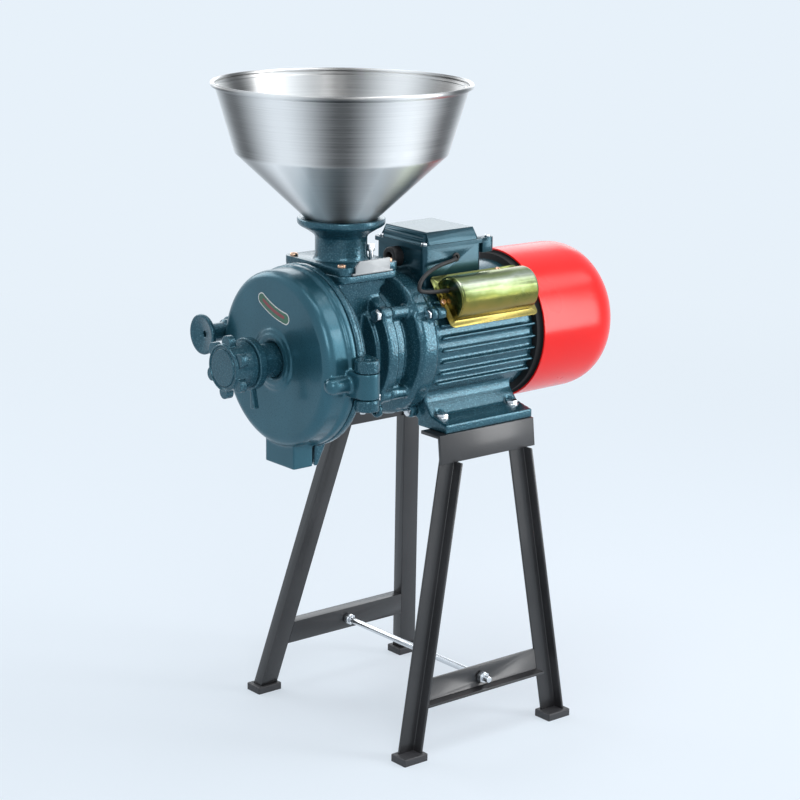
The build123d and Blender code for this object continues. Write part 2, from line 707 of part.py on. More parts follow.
with BuildPart() as motor_shaft:
    steps = [
        (shaft_end_x, 0),
        (shaft_end_x, SHAFT_FRONT_RADIUS),
        (front_bearing_x - 4, SHAFT_FRONT_RADIUS),
        (front_bearing_x - 4, SHAFT_BEARING_RADIUS),
        (front_bearing_x + FRONT_BEARING_WIDTH, SHAFT_BEARING_RADIUS),
        (front_bearing_x + FRONT_BEARING_WIDTH, SHAFT_CORE_RADIUS),
        (rear_bearing_x, SHAFT_CORE_RADIUS),
        (rear_bearing_x, SHAFT_REAR_RADIUS),
        (fan_x - 4, SHAFT_REAR_RADIUS),
        (fan_x - 4, SHAFT_FAN_RADIUS),
        (shaft_rear_x, SHAFT_FAN_RADIUS),
        (shaft_rear_x, 0),
    ]
    revolve(turned_face(steps), axis=shaft_axis)
motor_shaft.part.label = "motor_shaft"
export_step(motor_shaft.part, "parts/motor_shaft.step")


def ball_bearing(x, outer, bore, width):
    """Two races with a ring of balls between them, each a separate solid."""
    with BuildPart() as bearing:
        extrude(disc_face(x, outer - RUN_GAP, outer - BEARING_RACE), amount=width)
        extrude(disc_face(x, bore + BEARING_RACE, bore + RUN_GAP), amount=width)
        ball_circle = (outer + bore) / 2
        ball = (outer - bore - 2 * BEARING_RACE) / 2 - RUN_GAP
        with Locations(cross_plane(x + width / 2)):
            with PolarLocations(ball_circle, 9):
                Sphere(ball)
    return bearing.part


front_bearing = ball_bearing(
    front_bearing_x, FRONT_BEARING_RADIUS, SHAFT_BEARING_RADIUS, FRONT_BEARING_WIDTH
)
front_bearing.label = "front_bearing"
export_step(front_bearing, "parts/front_bearing.step")

rear_bearing = ball_bearing(
    rear_bearing_x, REAR_BEARING_RADIUS, SHAFT_REAR_RADIUS, REAR_BEARING_WIDTH
)
rear_bearing.label = "rear_bearing"
export_step(rear_bearing, "parts/rear_bearing.step")

bolt_spots = [
    (BOLT_CIRCLE * cos(radians(a)), BOLT_CIRCLE * sin(radians(a)))
    for a in (BOLT_ANGLE, 180 - BOLT_ANGLE, 180 + BOLT_ANGLE, -BOLT_ANGLE)
]
waist_x = shield_x + SHIELD_LENGTH * 0.33
ring_x = shield_x + SHIELD_LENGTH * 0.5
hub_front_x = front_bearing_x - SHIELD_WALL

with BuildPart() as front_end_shield:
    casting = [
        (shield_x, REAR_FLANGE_BORE),
        (shield_x, SHIELD_NECK),
        (waist_x - 3, SHIELD_NECK),
        (waist_x, SHIELD_NECK - 8),
        (waist_x + 4, SHIELD_NECK - 8),
        (ring_x, FIN_RADIUS - 4),
        (ring_x + 5, FIN_RADIUS),
        (frame_x - 3, FIN_RADIUS),
        (frame_x, FIN_RADIUS - 2),
        (frame_x, FRAME_BORE - RUN_GAP),
        (frame_x + SPIGOT_LENGTH, FRAME_BORE - RUN_GAP),
        (frame_x + SPIGOT_LENGTH, FRAME_BORE - SHIELD_WALL),
        (front_bearing_x, FRAME_BORE - SHIELD_WALL),
        (front_bearing_x, FRONT_BEARING_RADIUS + SHIELD_WALL),
        (frame_x - 2, FRONT_BEARING_RADIUS + SHIELD_WALL),
        (frame_x - 2, FRONT_BEARING_RADIUS),
        (front_bearing_x, FRONT_BEARING_RADIUS),
        (front_bearing_x, SHAFT_BEARING_RADIUS + 2),
        (hub_front_x, SHAFT_BEARING_RADIUS + 2),
        (hub_front_x, REAR_FLANGE_BORE),
    ]
    revolve(turned_face(casting), axis=shaft_axis)
    for y, z in bolt_spots:
        extrude(disc_face(shield_x, BOSS_RADIUS - 1, 0, y, z), amount=ring_x - shield_x + 3)
    for y, z in lug_spots:
        extrude(disc_face(frame_x - LUG_DEPTH, LUG_RADIUS, 0, y, z), amount=LUG_DEPTH)
        pocket = disc_face(ring_x - 6, M5_HEAD_DIA * 0.62, 0, y, z)
        extrude(pocket, amount=frame_x - LUG_DEPTH - ring_x + 6, mode=Mode.SUBTRACT)
    for y, z in bolt_spots:
        hole = disc_face(shield_x, M8_DIA / 2 + RUN_GAP, 0, y, z)
        extrude(hole, amount=ring_x - shield_x, mode=Mode.SUBTRACT)
    for y, z in lug_spots:
        hole = disc_face(frame_x - LUG_DEPTH, M5_DIA / 2 + RUN_GAP, 0, y, z)
        extrude(hole, amount=LUG_DEPTH, mode=Mode.SUBTRACT)
front_end_shield.part.label = "front_end_shield"
export_step(front_end_shield.part, "parts/front_end_shield.step")

cowl_screw_outs = []
for turn in COWL_SCREW_TURNS:
    angle = radians(turn)
    direction = Vector(0, cos(angle), sin(angle))
    spot = Vector(cowl_x + COWL_LAP / 2 + 2, 0, axis_z) + direction * (COWL_RADIUS + RUN_GAP)
    cowl_screw_outs.append(Plane(origin=spot, z_dir=direction))

spigot_in = FRAME_BORE - SHIELD_WALL
cowl_slope = COWL_TAPER / (COWL_LENGTH - COWL_DOME)
seat_radius = COWL_RADIUS - COWL_WALL - SEAT_GAP - cowl_slope * COWL_LAP
rear_shield_end = frame_end_x + REAR_SHIELD_LENGTH
with BuildPart() as rear_end_shield:
    casting = [
        (frame_end_x - SPIGOT_LENGTH, spigot_in),
        (frame_end_x - SPIGOT_LENGTH, FRAME_BORE - RUN_GAP),
        (frame_end_x, FRAME_BORE - RUN_GAP),
        (frame_end_x, REAR_RING_RADIUS),
        (cowl_x + 1, REAR_RING_RADIUS),
        (cowl_x + 1, seat_radius),
        (rear_shield_end, seat_radius),
        (rear_shield_end, seat_radius - SHIELD_WALL),
        (frame_end_x + SHIELD_WALL + 2, seat_radius - SHIELD_WALL),
        (frame_end_x + SHIELD_WALL + 2, REAR_BEARING_RADIUS + SHIELD_WALL),
        (rear_bearing_x + REAR_BEARING_WIDTH + 2, REAR_BEARING_RADIUS + SHIELD_WALL),
        (rear_bearing_x + REAR_BEARING_WIDTH + 2, SHAFT_REAR_RADIUS + 2),
        (rear_bearing_x + REAR_BEARING_WIDTH, SHAFT_REAR_RADIUS + 2),
        (rear_bearing_x + REAR_BEARING_WIDTH, REAR_BEARING_RADIUS),
        (rear_bearing_x, REAR_BEARING_RADIUS),
        (rear_bearing_x, spigot_in),
    ]
    revolve(turned_face(casting), axis=shaft_axis)
    for out in cowl_screw_outs:
        hole = round_face(out, M4_DIA / 2 + RUN_GAP)
        extrude(hole, amount=-SHIELD_WALL * 2, mode=Mode.SUBTRACT)
rear_end_shield.part.label = "rear_end_shield"
export_step(rear_end_shield.part, "parts/rear_end_shield.step")

with BuildPart() as shield_bolts:
    for y, z in lug_spots:
        head = Plane(origin=(frame_x - LUG_DEPTH, y, axis_z + z), z_dir=(-1, 0, 0))
        extrude(round_face(head, M5_DIA / 2), amount=-2 * LUG_DEPTH)
        extrude(hexagon(head, M5_HEAD_DIA), amount=M5_HEAD)
shield_bolts.part.label = "shield_bolts"
export_step(shield_bolts.part, "parts/shield_bolts.step")

with BuildPart() as cooling_fan:
    hub = disc_face(fan_x, FAN_HUB_RADIUS, SHAFT_FAN_RADIUS + RUN_GAP)
    extrude(hub, amount=FAN_WIDTH)
    with Locations(cross_plane(fan_x + FAN_WIDTH * 0.5)):
        with PolarLocations((FAN_RADIUS + FAN_HUB_RADIUS) / 2 - 1, FAN_BLADES):
            Box(FAN_RADIUS - FAN_HUB_RADIUS + 2, 3, FAN_WIDTH)
    plate = disc_face(fan_x + FAN_WIDTH - 3, FAN_RADIUS, FAN_HUB_RADIUS - 2)
    extrude(plate, amount=3)
cooling_fan.part.label = "cooling_fan"
export_step(cooling_fan.part, "parts/cooling_fan.step")

DOME_POWER = 2.6  # squareness of the dome's outline
DOME_STEPS = 9


def dome_points(radius, length):
    """Points (x, radius) of a superellipse quarter from the dome's start to the axis."""
    start = cowl_end_x - COWL_DOME
    spots = []
    for step in range(DOME_STEPS + 1):
        turn = radians(90 * step / DOME_STEPS)
        along = abs(sin(turn)) ** (2 / DOME_POWER) * length
        out = abs(cos(turn)) ** (2 / DOME_POWER) * radius
        spots.append((start + along, out if step < DOME_STEPS else 0.0))
    return spots


def cowl_face(radius, length):
    """Half outline of a solid cowl with the given radius and dome length."""
    with BuildSketch(side_plane) as face:
        with BuildLine():
            dome = dome_points(radius - COWL_TAPER, length)
            Polyline((cowl_x, 0), (cowl_x, radius), dome[0])
            Spline(*dome, tangents=((1, 0), (0, -1)))
            Line(dome[-1], (cowl_x, 0))
        make_face()
    return face.sketch


with BuildPart() as fan_cowl:
    revolve(cowl_face(COWL_RADIUS, COWL_DOME), axis=shaft_axis)
    inside = cowl_face(COWL_RADIUS - COWL_WALL, COWL_DOME - COWL_WALL)
    revolve(inside, axis=shaft_axis, mode=Mode.SUBTRACT)
    with BuildSketch(cross_plane(cowl_end_x)):
        for ring in (1, 2, 3):
            with PolarLocations(COWL_RADIUS * 0.19 * ring, VENT_COUNT // 3 * ring):
                Circle(3.5)
    extrude(amount=-COWL_DOME, mode=Mode.SUBTRACT)
    for out in cowl_screw_outs:
        hole = round_face(out, M4_DIA / 2 + RUN_GAP)
        extrude(hole, amount=-COWL_WALL * 3, mode=Mode.SUBTRACT)
fan_cowl.part.label = "fan_cowl"
export_step(fan_cowl.part, "parts/fan_cowl.step")

with BuildPart() as cowl_screws:
    for out in cowl_screw_outs:
        add(pan_head_screw(out, M4_DIA, M4_HEAD_DIA, M4_HEAD, SHIELD_WALL))
cowl_screws.part.label = "cowl_screws"
export_step(cowl_screws.part, "parts/cowl_screws.step")

# ================================================================ terminal box
box_mid_x = box_x + BOX_LENGTH / 2
floor_z = axis_z + BOX_FLOOR
box_top_z = axis_z + BOX_TOP
inlet_z = box_top_z - INLET_DROP
ear_y = BOX_HALF_WIDTH - 5
front_ear_x = box_x - LID_EAR_FRONT
rear_ear_x = box_x + BOX_LENGTH + LID_EAR_REAR
ear_spots = [(x, b * ear_y) for x in (front_ear_x, rear_ear_x) for b in (-1, 1)]
ear_webs = [(rear_ear_x - LID_EAR_REAR / 2, b * ear_y) for b in (-1, 1)]
lead_hole_x = box_x + BOX_LENGTH * 0.55
lead_z = box_top_z - LEAD_DROP
GROMMET_RADIUS = 5.5

with BuildPart() as terminal_box:
    with BuildSketch(Plane.XY.offset(axis_z + BOX_SKIRT)):
        with Locations((box_mid_x, 0)):
            RectangleRounded(BOX_LENGTH, 2 * BOX_HALF_WIDTH, BOX_CORNER)
    extrude(amount=BOX_TOP - BOX_SKIRT)
    with BuildSketch(Plane.XY.offset(floor_z + BOX_WALL)):
        with Locations((box_mid_x, 0)):
            RectangleRounded(
                BOX_LENGTH - 2 * BOX_WALL, 2 * BOX_HALF_WIDTH - 2 * BOX_WALL, BOX_CORNER - 2
            )
    extrude(amount=BOX_TOP, mode=Mode.SUBTRACT)
    with BuildSketch(Plane.XY.offset(box_top_z - 12)):
        with Locations(ear_spots[2:]):
            Circle(LID_EAR_RADIUS)
        with Locations(ear_webs):
            Rectangle(LID_EAR_REAR, 2 * LID_EAR_RADIUS)
        with Locations(ear_spots[:2]):
            Circle(M4_DIA)
    extrude(amount=12)
    with BuildSketch(Plane.XY.offset(floor_z)):
        with Locations((box_mid_x, 0)):
            Rectangle(BOX_LENGTH - 2 * BOX_WALL, 2 * BOX_HALF_WIDTH - 2 * BOX_WALL)
    extrude(amount=-BOX_FLOOR, mode=Mode.SUBTRACT)
    extrude(
        disc_face(box_x - BOX_LENGTH / 2, FRAME_RADIUS + SEAT_GAP),
        amount=BOX_LENGTH * 2,
        mode=Mode.SUBTRACT,
    )
    inlet = Plane(origin=(box_x, INLET_Y, inlet_z), z_dir=(-1, 0, 0))
    extrude(round_face(inlet, INLET_RADIUS - 2), amount=-BOX_WALL, mode=Mode.SUBTRACT)
    lead_out = Plane(origin=(lead_hole_x, -BOX_HALF_WIDTH, lead_z), z_dir=(0, -1, 0))
    extrude(round_face(lead_out, GROMMET_RADIUS - 1), amount=-BOX_WALL, mode=Mode.SUBTRACT)
    with Locations([(x, y, box_top_z) for x, y in ear_spots]):
        Hole(radius=M4_DIA / 2 + RUN_GAP, depth=10)
terminal_box.part.label = "terminal_box"
export_step(terminal_box.part, "parts/terminal_box.step")

with BuildPart() as terminal_box_lid:
    with BuildSketch(Plane.XY.offset(box_top_z)):
        with Locations((box_mid_x, 0)):
            RectangleRounded(
                BOX_LENGTH + 2 * LID_LAP, 2 * BOX_HALF_WIDTH + 2 * LID_LAP, BOX_CORNER
            )
        with Locations(ear_spots[2:]):
            Circle(LID_EAR_RADIUS)
        with Locations(ear_webs):
            Rectangle(LID_EAR_REAR, 2 * LID_EAR_RADIUS)
    extrude(amount=LID_RIM)
    with BuildSketch(Plane.XY.offset(box_top_z + LID_RIM)):
        with Locations((box_mid_x, 0)):
            RectangleRounded(BOX_LENGTH - 6, 2 * BOX_HALF_WIDTH, BOX_CORNER)
    bevel = LID_HEIGHT - LID_RIM
    extrude(amount=bevel, taper=degrees(atan(LID_BEVEL / bevel)))
    with BuildSketch(Plane.XY.offset(box_top_z)):
        with Locations((box_mid_x, 0)):
            Rectangle(BOX_LENGTH - LID_BEVEL * 3, 2 * BOX_HALF_WIDTH - LID_BEVEL * 3)
    extrude(amount=LID_HEIGHT - BOX_WALL, mode=Mode.SUBTRACT)
    with Locations([(x, y, box_top_z + LID_RIM) for x, y in ear_spots]):
        Hole(radius=M4_DIA / 2 + RUN_GAP, depth=LID_RIM)
        Cylinder(
            radius=M4_HEAD_DIA / 2 + BOLT_GAP,
            height=LID_HEIGHT,
            align=(Align.CENTER, Align.CENTER, Align.MIN),
            mode=Mode.SUBTRACT,
        )
terminal_box_lid.part.label = "terminal_box_lid"
export_step(terminal_box_lid.part, "parts/terminal_box_lid.step")

with BuildPart() as lid_screws:
    for x, y in ear_spots:
        spot = Plane(origin=(x, y, box_top_z + LID_RIM))
        add(pan_head_screw(spot, M4_DIA, M4_HEAD_DIA, M4_HEAD, LID_RIM + 9))
lid_screws.part.label = "lid_screws"
export_step(lid_screws.part, "parts/lid_screws.step")

BOARD_LENGTH, BOARD_WIDTH, BOARD_THICKNESS = 52.0, 34.0, 5.0
board_z = floor_z + BOX_WALL
stud_spots = [(box_mid_x + 16 * a, 9 * b) for a in (-1, 0, 1) for b in (-1, 1)]

with BuildPart() as terminal_board:
    with BuildSketch(Plane.XY.offset(board_z)):
        with Locations((box_mid_x, 0)):
            RectangleRounded(BOARD_LENGTH, BOARD_WIDTH, 3)
    extrude(amount=BOARD_THICKNESS)
    with Locations([(x, y, board_z + BOARD_THICKNESS) for x, y in stud_spots]):
        Hole(radius=M4_DIA / 2 + RUN_GAP, depth=BOARD_THICKNESS)
terminal_board.part.label = "terminal_board"
export_step(terminal_board.part, "parts/terminal_board.step")

with BuildPart() as terminal_studs:
    for x, y in stud_spots:
        extrude(round_face(Plane(origin=(x, y, board_z)), M4_DIA / 2), amount=14)
        spot = Plane(origin=(x, y, board_z + BOARD_THICKNESS))
        extrude(hexagon(spot, M4_HEAD_DIA), amount=3)
terminal_studs.part.label = "terminal_studs"
export_step(terminal_studs.part, "parts/terminal_studs.step")

with BuildPart() as cable_bush:
    extrude(round_face(inlet.offset(-BOX_WALL), INLET_RADIUS - 2), amount=BOX_WALL)
    extrude(round_face(inlet, INLET_RADIUS), amount=INLET_COLLAR)
    fillet(cable_bush.faces().sort_by(Axis.X)[0].edges(), 1.5)
    bore = round_face(inlet.offset(-BOX_WALL), INLET_BORE)
    extrude(bore, amount=BOX_WALL + INLET_COLLAR, mode=Mode.SUBTRACT)
cable_bush.part.label = "cable_bush"
export_step(cable_bush.part, "parts/cable_bush.step")

with BuildPart() as lead_grommet:
    extrude(round_face(lead_out.offset(-BOX_WALL), GROMMET_RADIUS - 1), amount=BOX_WALL)
    extrude(round_face(lead_out, GROMMET_RADIUS), amount=1)
    bore = round_face(lead_out.offset(-BOX_WALL), LEAD_DIA / 2 + RUN_GAP)
    extrude(bore, amount=BOX_WALL * 2, mode=Mode.SUBTRACT)
lead_grommet.part.label = "lead_grommet"
export_step(lead_grommet.part, "parts/lead_grommet.step")

# ================================================================ capacitor
CAN_END_GAP = 14.0
can_lift = CAN_RADIUS  # the can lies on the fins
lead_in = cap_plane.from_local_coords((9.0, 12.0, 0))


def cap_arch(inset, start):
    """Arched section of the capacitor's cover, inset from its outside."""
    radius = CAP_RADIUS - inset
    with BuildSketch(cap_plane.offset(start)) as arch:
        with Locations((0, CAP_STRAIGHT / 2)):
            Rectangle(2 * radius, CAP_STRAIGHT)
        with Locations((0, CAP_STRAIGHT)):
            Circle(radius)
        with Locations((0, -CAP_RADIUS)):
            Rectangle(4 * CAP_RADIUS, 2 * CAP_RADIUS, mode=Mode.SUBTRACT)
    return arch.sketch


with BuildPart() as capacitor_cover:
    extrude(cap_arch(0, 0), amount=CAP_LENGTH)
    top_ends = capacitor_cover.edges().filter_by(GeomType.CIRCLE)
    fillet(top_ends, CAP_END_ROUND * 0.5)
    extrude(cap_arch(CAP_SHEET, CAP_SHEET), amount=CAP_LENGTH - 2 * CAP_SHEET, mode=Mode.SUBTRACT)
    with BuildSketch(cap_base(CAP_LENGTH / 2, 0)):
        RectangleRounded(
            CAP_LENGTH + 2 * CAP_FLANGE, 2 * (CAP_RADIUS + CAP_FLANGE), CAP_FLANGE * 0.8
        )
        Rectangle(
            CAP_LENGTH - 2 * CAP_SHEET, 2 * (CAP_RADIUS - CAP_SHEET), mode=Mode.SUBTRACT
        )
    extrude(amount=CAP_SHEET)
    for x, across in cap_screw_spots:
        hole = round_face(cap_base(x, across), M4_DIA / 2 + RUN_GAP)
        extrude(hole, amount=CAP_SHEET, mode=Mode.SUBTRACT)
    mouth = Plane(origin=lead_in, z_dir=(1, 0, 0))
    extrude(round_face(mouth, LEAD_DIA / 2 + 0.6), amount=CAP_SHEET * 4, mode=Mode.SUBTRACT)
capacitor_cover.part.label = "capacitor_cover"
export_step(capacitor_cover.part, "parts/capacitor_cover.step")

with BuildPart() as capacitor:
    can = cap_plane.offset(CAN_END_GAP)
    with BuildSketch(can):
        with Locations((0, can_lift)):
            Circle(CAN_RADIUS)
    extrude(amount=CAN_LENGTH)
    fillet(capacitor.edges().filter_by(GeomType.CIRCLE), 2)
capacitor.part.label = "capacitor"
export_step(capacitor.part, "parts/capacitor.step")

with BuildPart() as capacitor_screws:
    for x, across in cap_screw_spots:
        spot = cap_base(x, across).offset(CAP_SHEET)
        add(pan_head_screw(spot, M4_DIA, M4_HEAD_DIA, M4_HEAD, M4_DIA * 2))
capacitor_screws.part.label = "capacitor_screws"
export_step(capacitor_screws.part, "parts/capacitor_screws.step")

lead_side = BOX_HALF_WIDTH + LEAD_DIA
lead_route = [
    (lead_hole_x, -(BOX_HALF_WIDTH - 10), lead_z),
    (lead_hole_x, -lead_side - 1, lead_z),
    (box_x + BOX_LENGTH * 0.18, -lead_side - 1, lead_z - 5),
    (frame_x - 3, lead_in.Y + 5, lead_z - 10),
    (frame_x - 20, lead_in.Y, lead_in.Z + 12),
    (frame_x - 20, lead_in.Y, lead_in.Z),
    (cap_x + 8, lead_in.Y, lead_in.Z),
]

with BuildPart() as capacitor_lead:
    with BuildLine() as route:
        FilletPolyline(*lead_route, radius=5)
    start = Plane(origin=route.line @ 0, z_dir=route.line % 0)
    sweep(round_face(start, LEAD_DIA / 2), path=route.line)
capacitor_lead.part.label = "capacitor_lead"
export_step(capacitor_lead.part, "parts/capacitor_lead.step")

# ================================================================ mill housing
pin_x = seam_x
plate_z = seat_z - PLATE_THICKNESS
rib_angles = (66.0, 114.0, 246.0, 294.0)
disc_screw_circle = (DISC_RADIUS + DISC_EYE) / 2
disc_screw_spots = [
    (disc_screw_circle * cos(radians(a)), disc_screw_circle * sin(radians(a)))
    for a in (30, 150, 270)
]
chute_low = -CHUTE_DROP
chute_turn = -CHUTE_DROP + 28


def chute_prism(points, half_width):
    """Block of the chute across the mill; points are (x, height from the shaft)."""
    return outline(side_plane.offset(-half_width), points)


def knuckle(low, high):
    """Round lug of the hinge between two heights from the shaft."""
    plane = Plane(origin=(pin_x, PIN_Y, axis_z + low))
    return round_face(plane, KNUCKLE_RADIUS)


def hinge_link(low, x_from, x_to, y_to):
    """Block that joins a knuckle to its casting, from the pin's line to y_to."""
    with BuildSketch(Plane.XY.offset(axis_z + low)) as link:
        with Locations(((x_from + x_to) / 2, (PIN_Y + y_to) / 2)):
            Rectangle(abs(x_to - x_from), abs(y_to - PIN_Y))
    return link.sketch


with BuildPart() as mill_housing:
    extrude(disc_face(seam_x, FLANGE_RADIUS), amount=FLANGE_WIDTH)
    extrude(disc_face(seam_x, DRUM_RADIUS), amount=DRUM_DEPTH)
    shoulder = mill_housing.edges().filter_by(GeomType.CIRCLE).sort_by(Axis.X)[-1]
    fillet(shoulder, 8)
    extrude(disc_face(drum_back_x - 1, BARREL_RADIUS), amount=hopper_x + BARREL_END - drum_back_x + 1)
    flange_front = shield_x - REAR_FLANGE_WIDTH
    ring_front = flange_front + 6
    extrude(disc_face(ring_front, REAR_FLANGE_RADIUS), amount=shield_x - ring_front)
    extrude(disc_face(flange_front, REAR_FLANGE_BORE + 4), amount=REAR_FLANGE_WIDTH)
    bore = disc_face(flange_front + 8, REAR_FLANGE_BORE, BARREL_RADIUS)
    extrude(bore, amount=REAR_FLANGE_WIDTH - 8, mode=Mode.SUBTRACT)
    for y, z in bolt_spots:
        extrude(disc_face(ring_front, BOSS_RADIUS, 0, y, z), amount=shield_x - ring_front)
    with BuildSketch(cross_plane(drum_back_x - 3)):
        for angle in rib_angles:
            with PolarLocations((BARREL_RADIUS + REAR_FLANGE_RADIUS) / 2 - 2, 1, start_angle=angle):
                Rectangle(REAR_FLANGE_RADIUS - BARREL_RADIUS, RIB_THICKNESS)
    extrude(amount=ring_front + 2 - drum_back_x + 3)
    with BuildSketch(Plane.XY.offset(plate_z)):
        with Locations((hopper_x, 0)):
            RectangleRounded(2 * PLATE_HALF_LENGTH, 2 * PLATE_HALF_WIDTH, PLATE_CORNER)
    extrude(amount=PLATE_THICKNESS)
    with BuildSketch(Plane.XY.offset(plate_z)):
        with Locations((hopper_x, 0)):
            RectangleRounded(2 * (PLATE_HALF_LENGTH - 6), 2 * (PLATE_HALF_WIDTH - 12), 8)
    with BuildSketch(Plane.XY.offset(axis_z + 8)):
        with Locations((hopper_x, 0)):
            RectangleRounded(2 * (DUCT_RADIUS + 5), 2 * (DUCT_RADIUS + 8), 8)
    loft()
    behind = disc_face(shield_x, FIN_RADIUS + 2, BARREL_RADIUS)
    extrude(behind, amount=FLANGE_RADIUS, mode=Mode.SUBTRACT)
    outer = [
        (seam_x, -DRUM_BORE + 10),
        (seam_x + CHUTE_BACK_TOP, -DRUM_BORE + 10),
        (seam_x + CHUTE_BACK_TOP, chute_turn),
        (seam_x + CHUTE_BACK, chute_low),
        (seam_x, chute_low),
    ]
    extrude(chute_prism(outer, CHUTE_HALF_WIDTH), amount=2 * CHUTE_HALF_WIDTH)
    fall_half = CHUTE_HALF_WIDTH - CHUTE_WALL
    inner = [
        (seam_x, 0),
        (seam_x + CHUTE_BACK_TOP - CHUTE_WALL, 0),
        (seam_x + CHUTE_BACK_TOP - CHUTE_WALL, chute_turn),
        (seam_x + CHUTE_BACK - CHUTE_WALL, chute_low),
        (seam_x, chute_low),
    ]
    extrude(chute_prism(inner, fall_half), amount=2 * fall_half, mode=Mode.SUBTRACT)
    extrude(disc_face(seam_x, DRUM_BORE), amount=wall_x - seam_x, mode=Mode.SUBTRACT)
    extrude(disc_face(wall_x, BARREL_BORE), amount=BARREL_END * 4, mode=Mode.SUBTRACT)
    with BuildSketch(Plane.XY.offset(seat_z)):
        with Locations((hopper_x, 0)):
            Circle(DUCT_RADIUS)
    extrude(amount=-PLATE_SEAT, mode=Mode.SUBTRACT)
    for y, z in disc_screw_spots:
        hole = disc_face(wall_x, M5_DIA / 2 + RUN_GAP, 0, y, z)
        extrude(hole, amount=BACK_WALL - 1, mode=Mode.SUBTRACT)
    for y, z in bolt_spots:
        hole = disc_face(ring_front, M8_DIA / 2 + BOLT_GAP, 0, y, z)
        extrude(hole, amount=shield_x - ring_front, mode=Mode.SUBTRACT)
    with Locations(
        [
            (hopper_x + a * THROAT_SCREW_X, b * THROAT_SCREW_Y, seat_z)
            for a in (-1, 1)
            for b in (-1, 1)
        ]
    ):
        Hole(radius=M5_DIA / 2 + RUN_GAP, depth=PLATE_THICKNESS)
    for low, high in ((KNUCKLE_LOW, KNUCKLE_MID), (KNUCKLE_UP, KNUCKLE_TOP)):
        extrude(knuckle(low, high), amount=high - low)
        link = hinge_link(low, seam_x, seam_x + KNUCKLE_RADIUS, -DRUM_RADIUS + 3)
        extrude(link, amount=high - low)
    with Locations((pin_x, PIN_Y, axis_z + KNUCKLE_TOP)):
        Hole(radius=PIN_DIA / 2 + SEAT_GAP, depth=KNUCKLE_TOP - KNUCKLE_LOW)
    extrude(disc_face(seam_x, EAR_RADIUS, 0, CLAMP_Y, CLAMP_Z), amount=LUG_THICKNESS)
    with BuildSketch(cross_plane(seam_x)):
        with Locations(((CLAMP_Y + FLANGE_RADIUS - 8) / 2, CLAMP_Z)):
            Rectangle(CLAMP_Y - FLANGE_RADIUS + 8, 2 * EAR_RADIUS)
    extrude(amount=LUG_THICKNESS)
    lug_bore = disc_face(seam_x, CLAMP_DIA / 2 + CLAMP_SLACK, 0, CLAMP_Y, CLAMP_Z)
    extrude(lug_bore, amount=LUG_THICKNESS, mode=Mode.SUBTRACT)
    lug_x = shield_x - DRAIN_LUG_WIDTH - FREE_GAP * 10
    drain_lug = disc_face(lug_x, DRAIN_LUG_RADIUS, DRAIN_LUG_BORE, DRAIN_LUG_Y, DRAIN_LUG_Z)
    extrude(drain_lug, amount=DRAIN_LUG_WIDTH)
mill_housing.part.label = "mill_housing"
export_step(mill_housing.part, "parts/mill_housing.step")

with BuildPart() as housing_bolts:
    for y, z in bolt_spots:
        head = Plane(origin=(ring_front, y, axis_z + z), z_dir=(-1, 0, 0))
        extrude(round_face(head, M8_DIA / 2), amount=-(shield_x - ring_front + 18))
        extrude(hexagon(head, M8_ACROSS), amount=M8_HEAD)
housing_bolts.part.label = "housing_bolts"
export_step(housing_bolts.part, "parts/housing_bolts.step")

seal_x = hopper_x + 28
with BuildPart() as shaft_seal:
    ring = disc_face(seal_x, BARREL_BORE - RUN_GAP, SHAFT_FRONT_RADIUS + SEAT_GAP)
    extrude(ring, amount=8)
shaft_seal.part.label = "shaft_seal"
export_step(shaft_seal.part, "parts/shaft_seal.step")

# ================================================================ grinding parts
with BuildPart() as fixed_disc:
    extrude(disc_face(fixed_face_x, DISC_RADIUS, DISC_EYE), amount=DISC_THICKNESS)
    with BuildSketch(cross_plane(fixed_face_x)):
        with PolarLocations((DISC_RADIUS + DISC_EYE) / 2 + 6, DISC_GROOVES):
            Rectangle(DISC_RADIUS - DISC_EYE - 18, 3, rotation=14)
    extrude(amount=1.5, mode=Mode.SUBTRACT)
    for y, z in disc_screw_spots:
        hole = disc_face(fixed_face_x, M5_DIA / 2 + RUN_GAP, 0, y, z)
        extrude(hole, amount=DISC_THICKNESS, mode=Mode.SUBTRACT)
        sink = disc_face(fixed_face_x, M5_HEAD_DIA / 2 + BOLT_GAP, 0, y, z)
        extrude(sink, amount=M5_HEAD + 2, mode=Mode.SUBTRACT)
fixed_disc.part.label = "fixed_disc"
export_step(fixed_disc.part, "parts/fixed_disc.step")

with BuildPart() as fixed_disc_screws:
    for y, z in disc_screw_spots:
        spot = Plane(origin=(fixed_face_x + M5_HEAD + 2, y, axis_z + z), z_dir=(-1, 0, 0))
        length = DISC_THICKNESS - M5_HEAD - 2 + BACK_WALL - 1.5
        add(pan_head_screw(spot, M5_DIA, M5_HEAD_DIA, M5_HEAD, length))
fixed_disc_screws.part.label = "fixed_disc_screws"
export_step(fixed_disc_screws.part, "parts/fixed_disc_screws.step")

bore_bottom = disc_hub_x + HUB_CROWN
with BuildPart() as moving_disc:
    extrude(disc_face(moving_front_x, DISC_RADIUS), amount=DISC_THICKNESS)
    extrude(disc_face(disc_hub_x, DISC_HUB_RADIUS), amount=DISC_HUB)
    fillet(moving_disc.faces().sort_by(Axis.X)[0].edges(), 2)
    with BuildSketch(cross_plane(moving_back_x)):
        with PolarLocations((DISC_RADIUS + DISC_EYE) / 2 + 6, DISC_GROOVES):
            Rectangle(DISC_RADIUS - DISC_EYE - 18, 3, rotation=-14)
    extrude(amount=-1.5, mode=Mode.SUBTRACT)
    shaft_bore = disc_face(bore_bottom, SHAFT_FRONT_RADIUS + RUN_GAP)
    extrude(shaft_bore, amount=moving_back_x - bore_bottom, mode=Mode.SUBTRACT)
moving_disc.part.label = "moving_disc"
export_step(moving_disc.part, "parts/moving_disc.step")

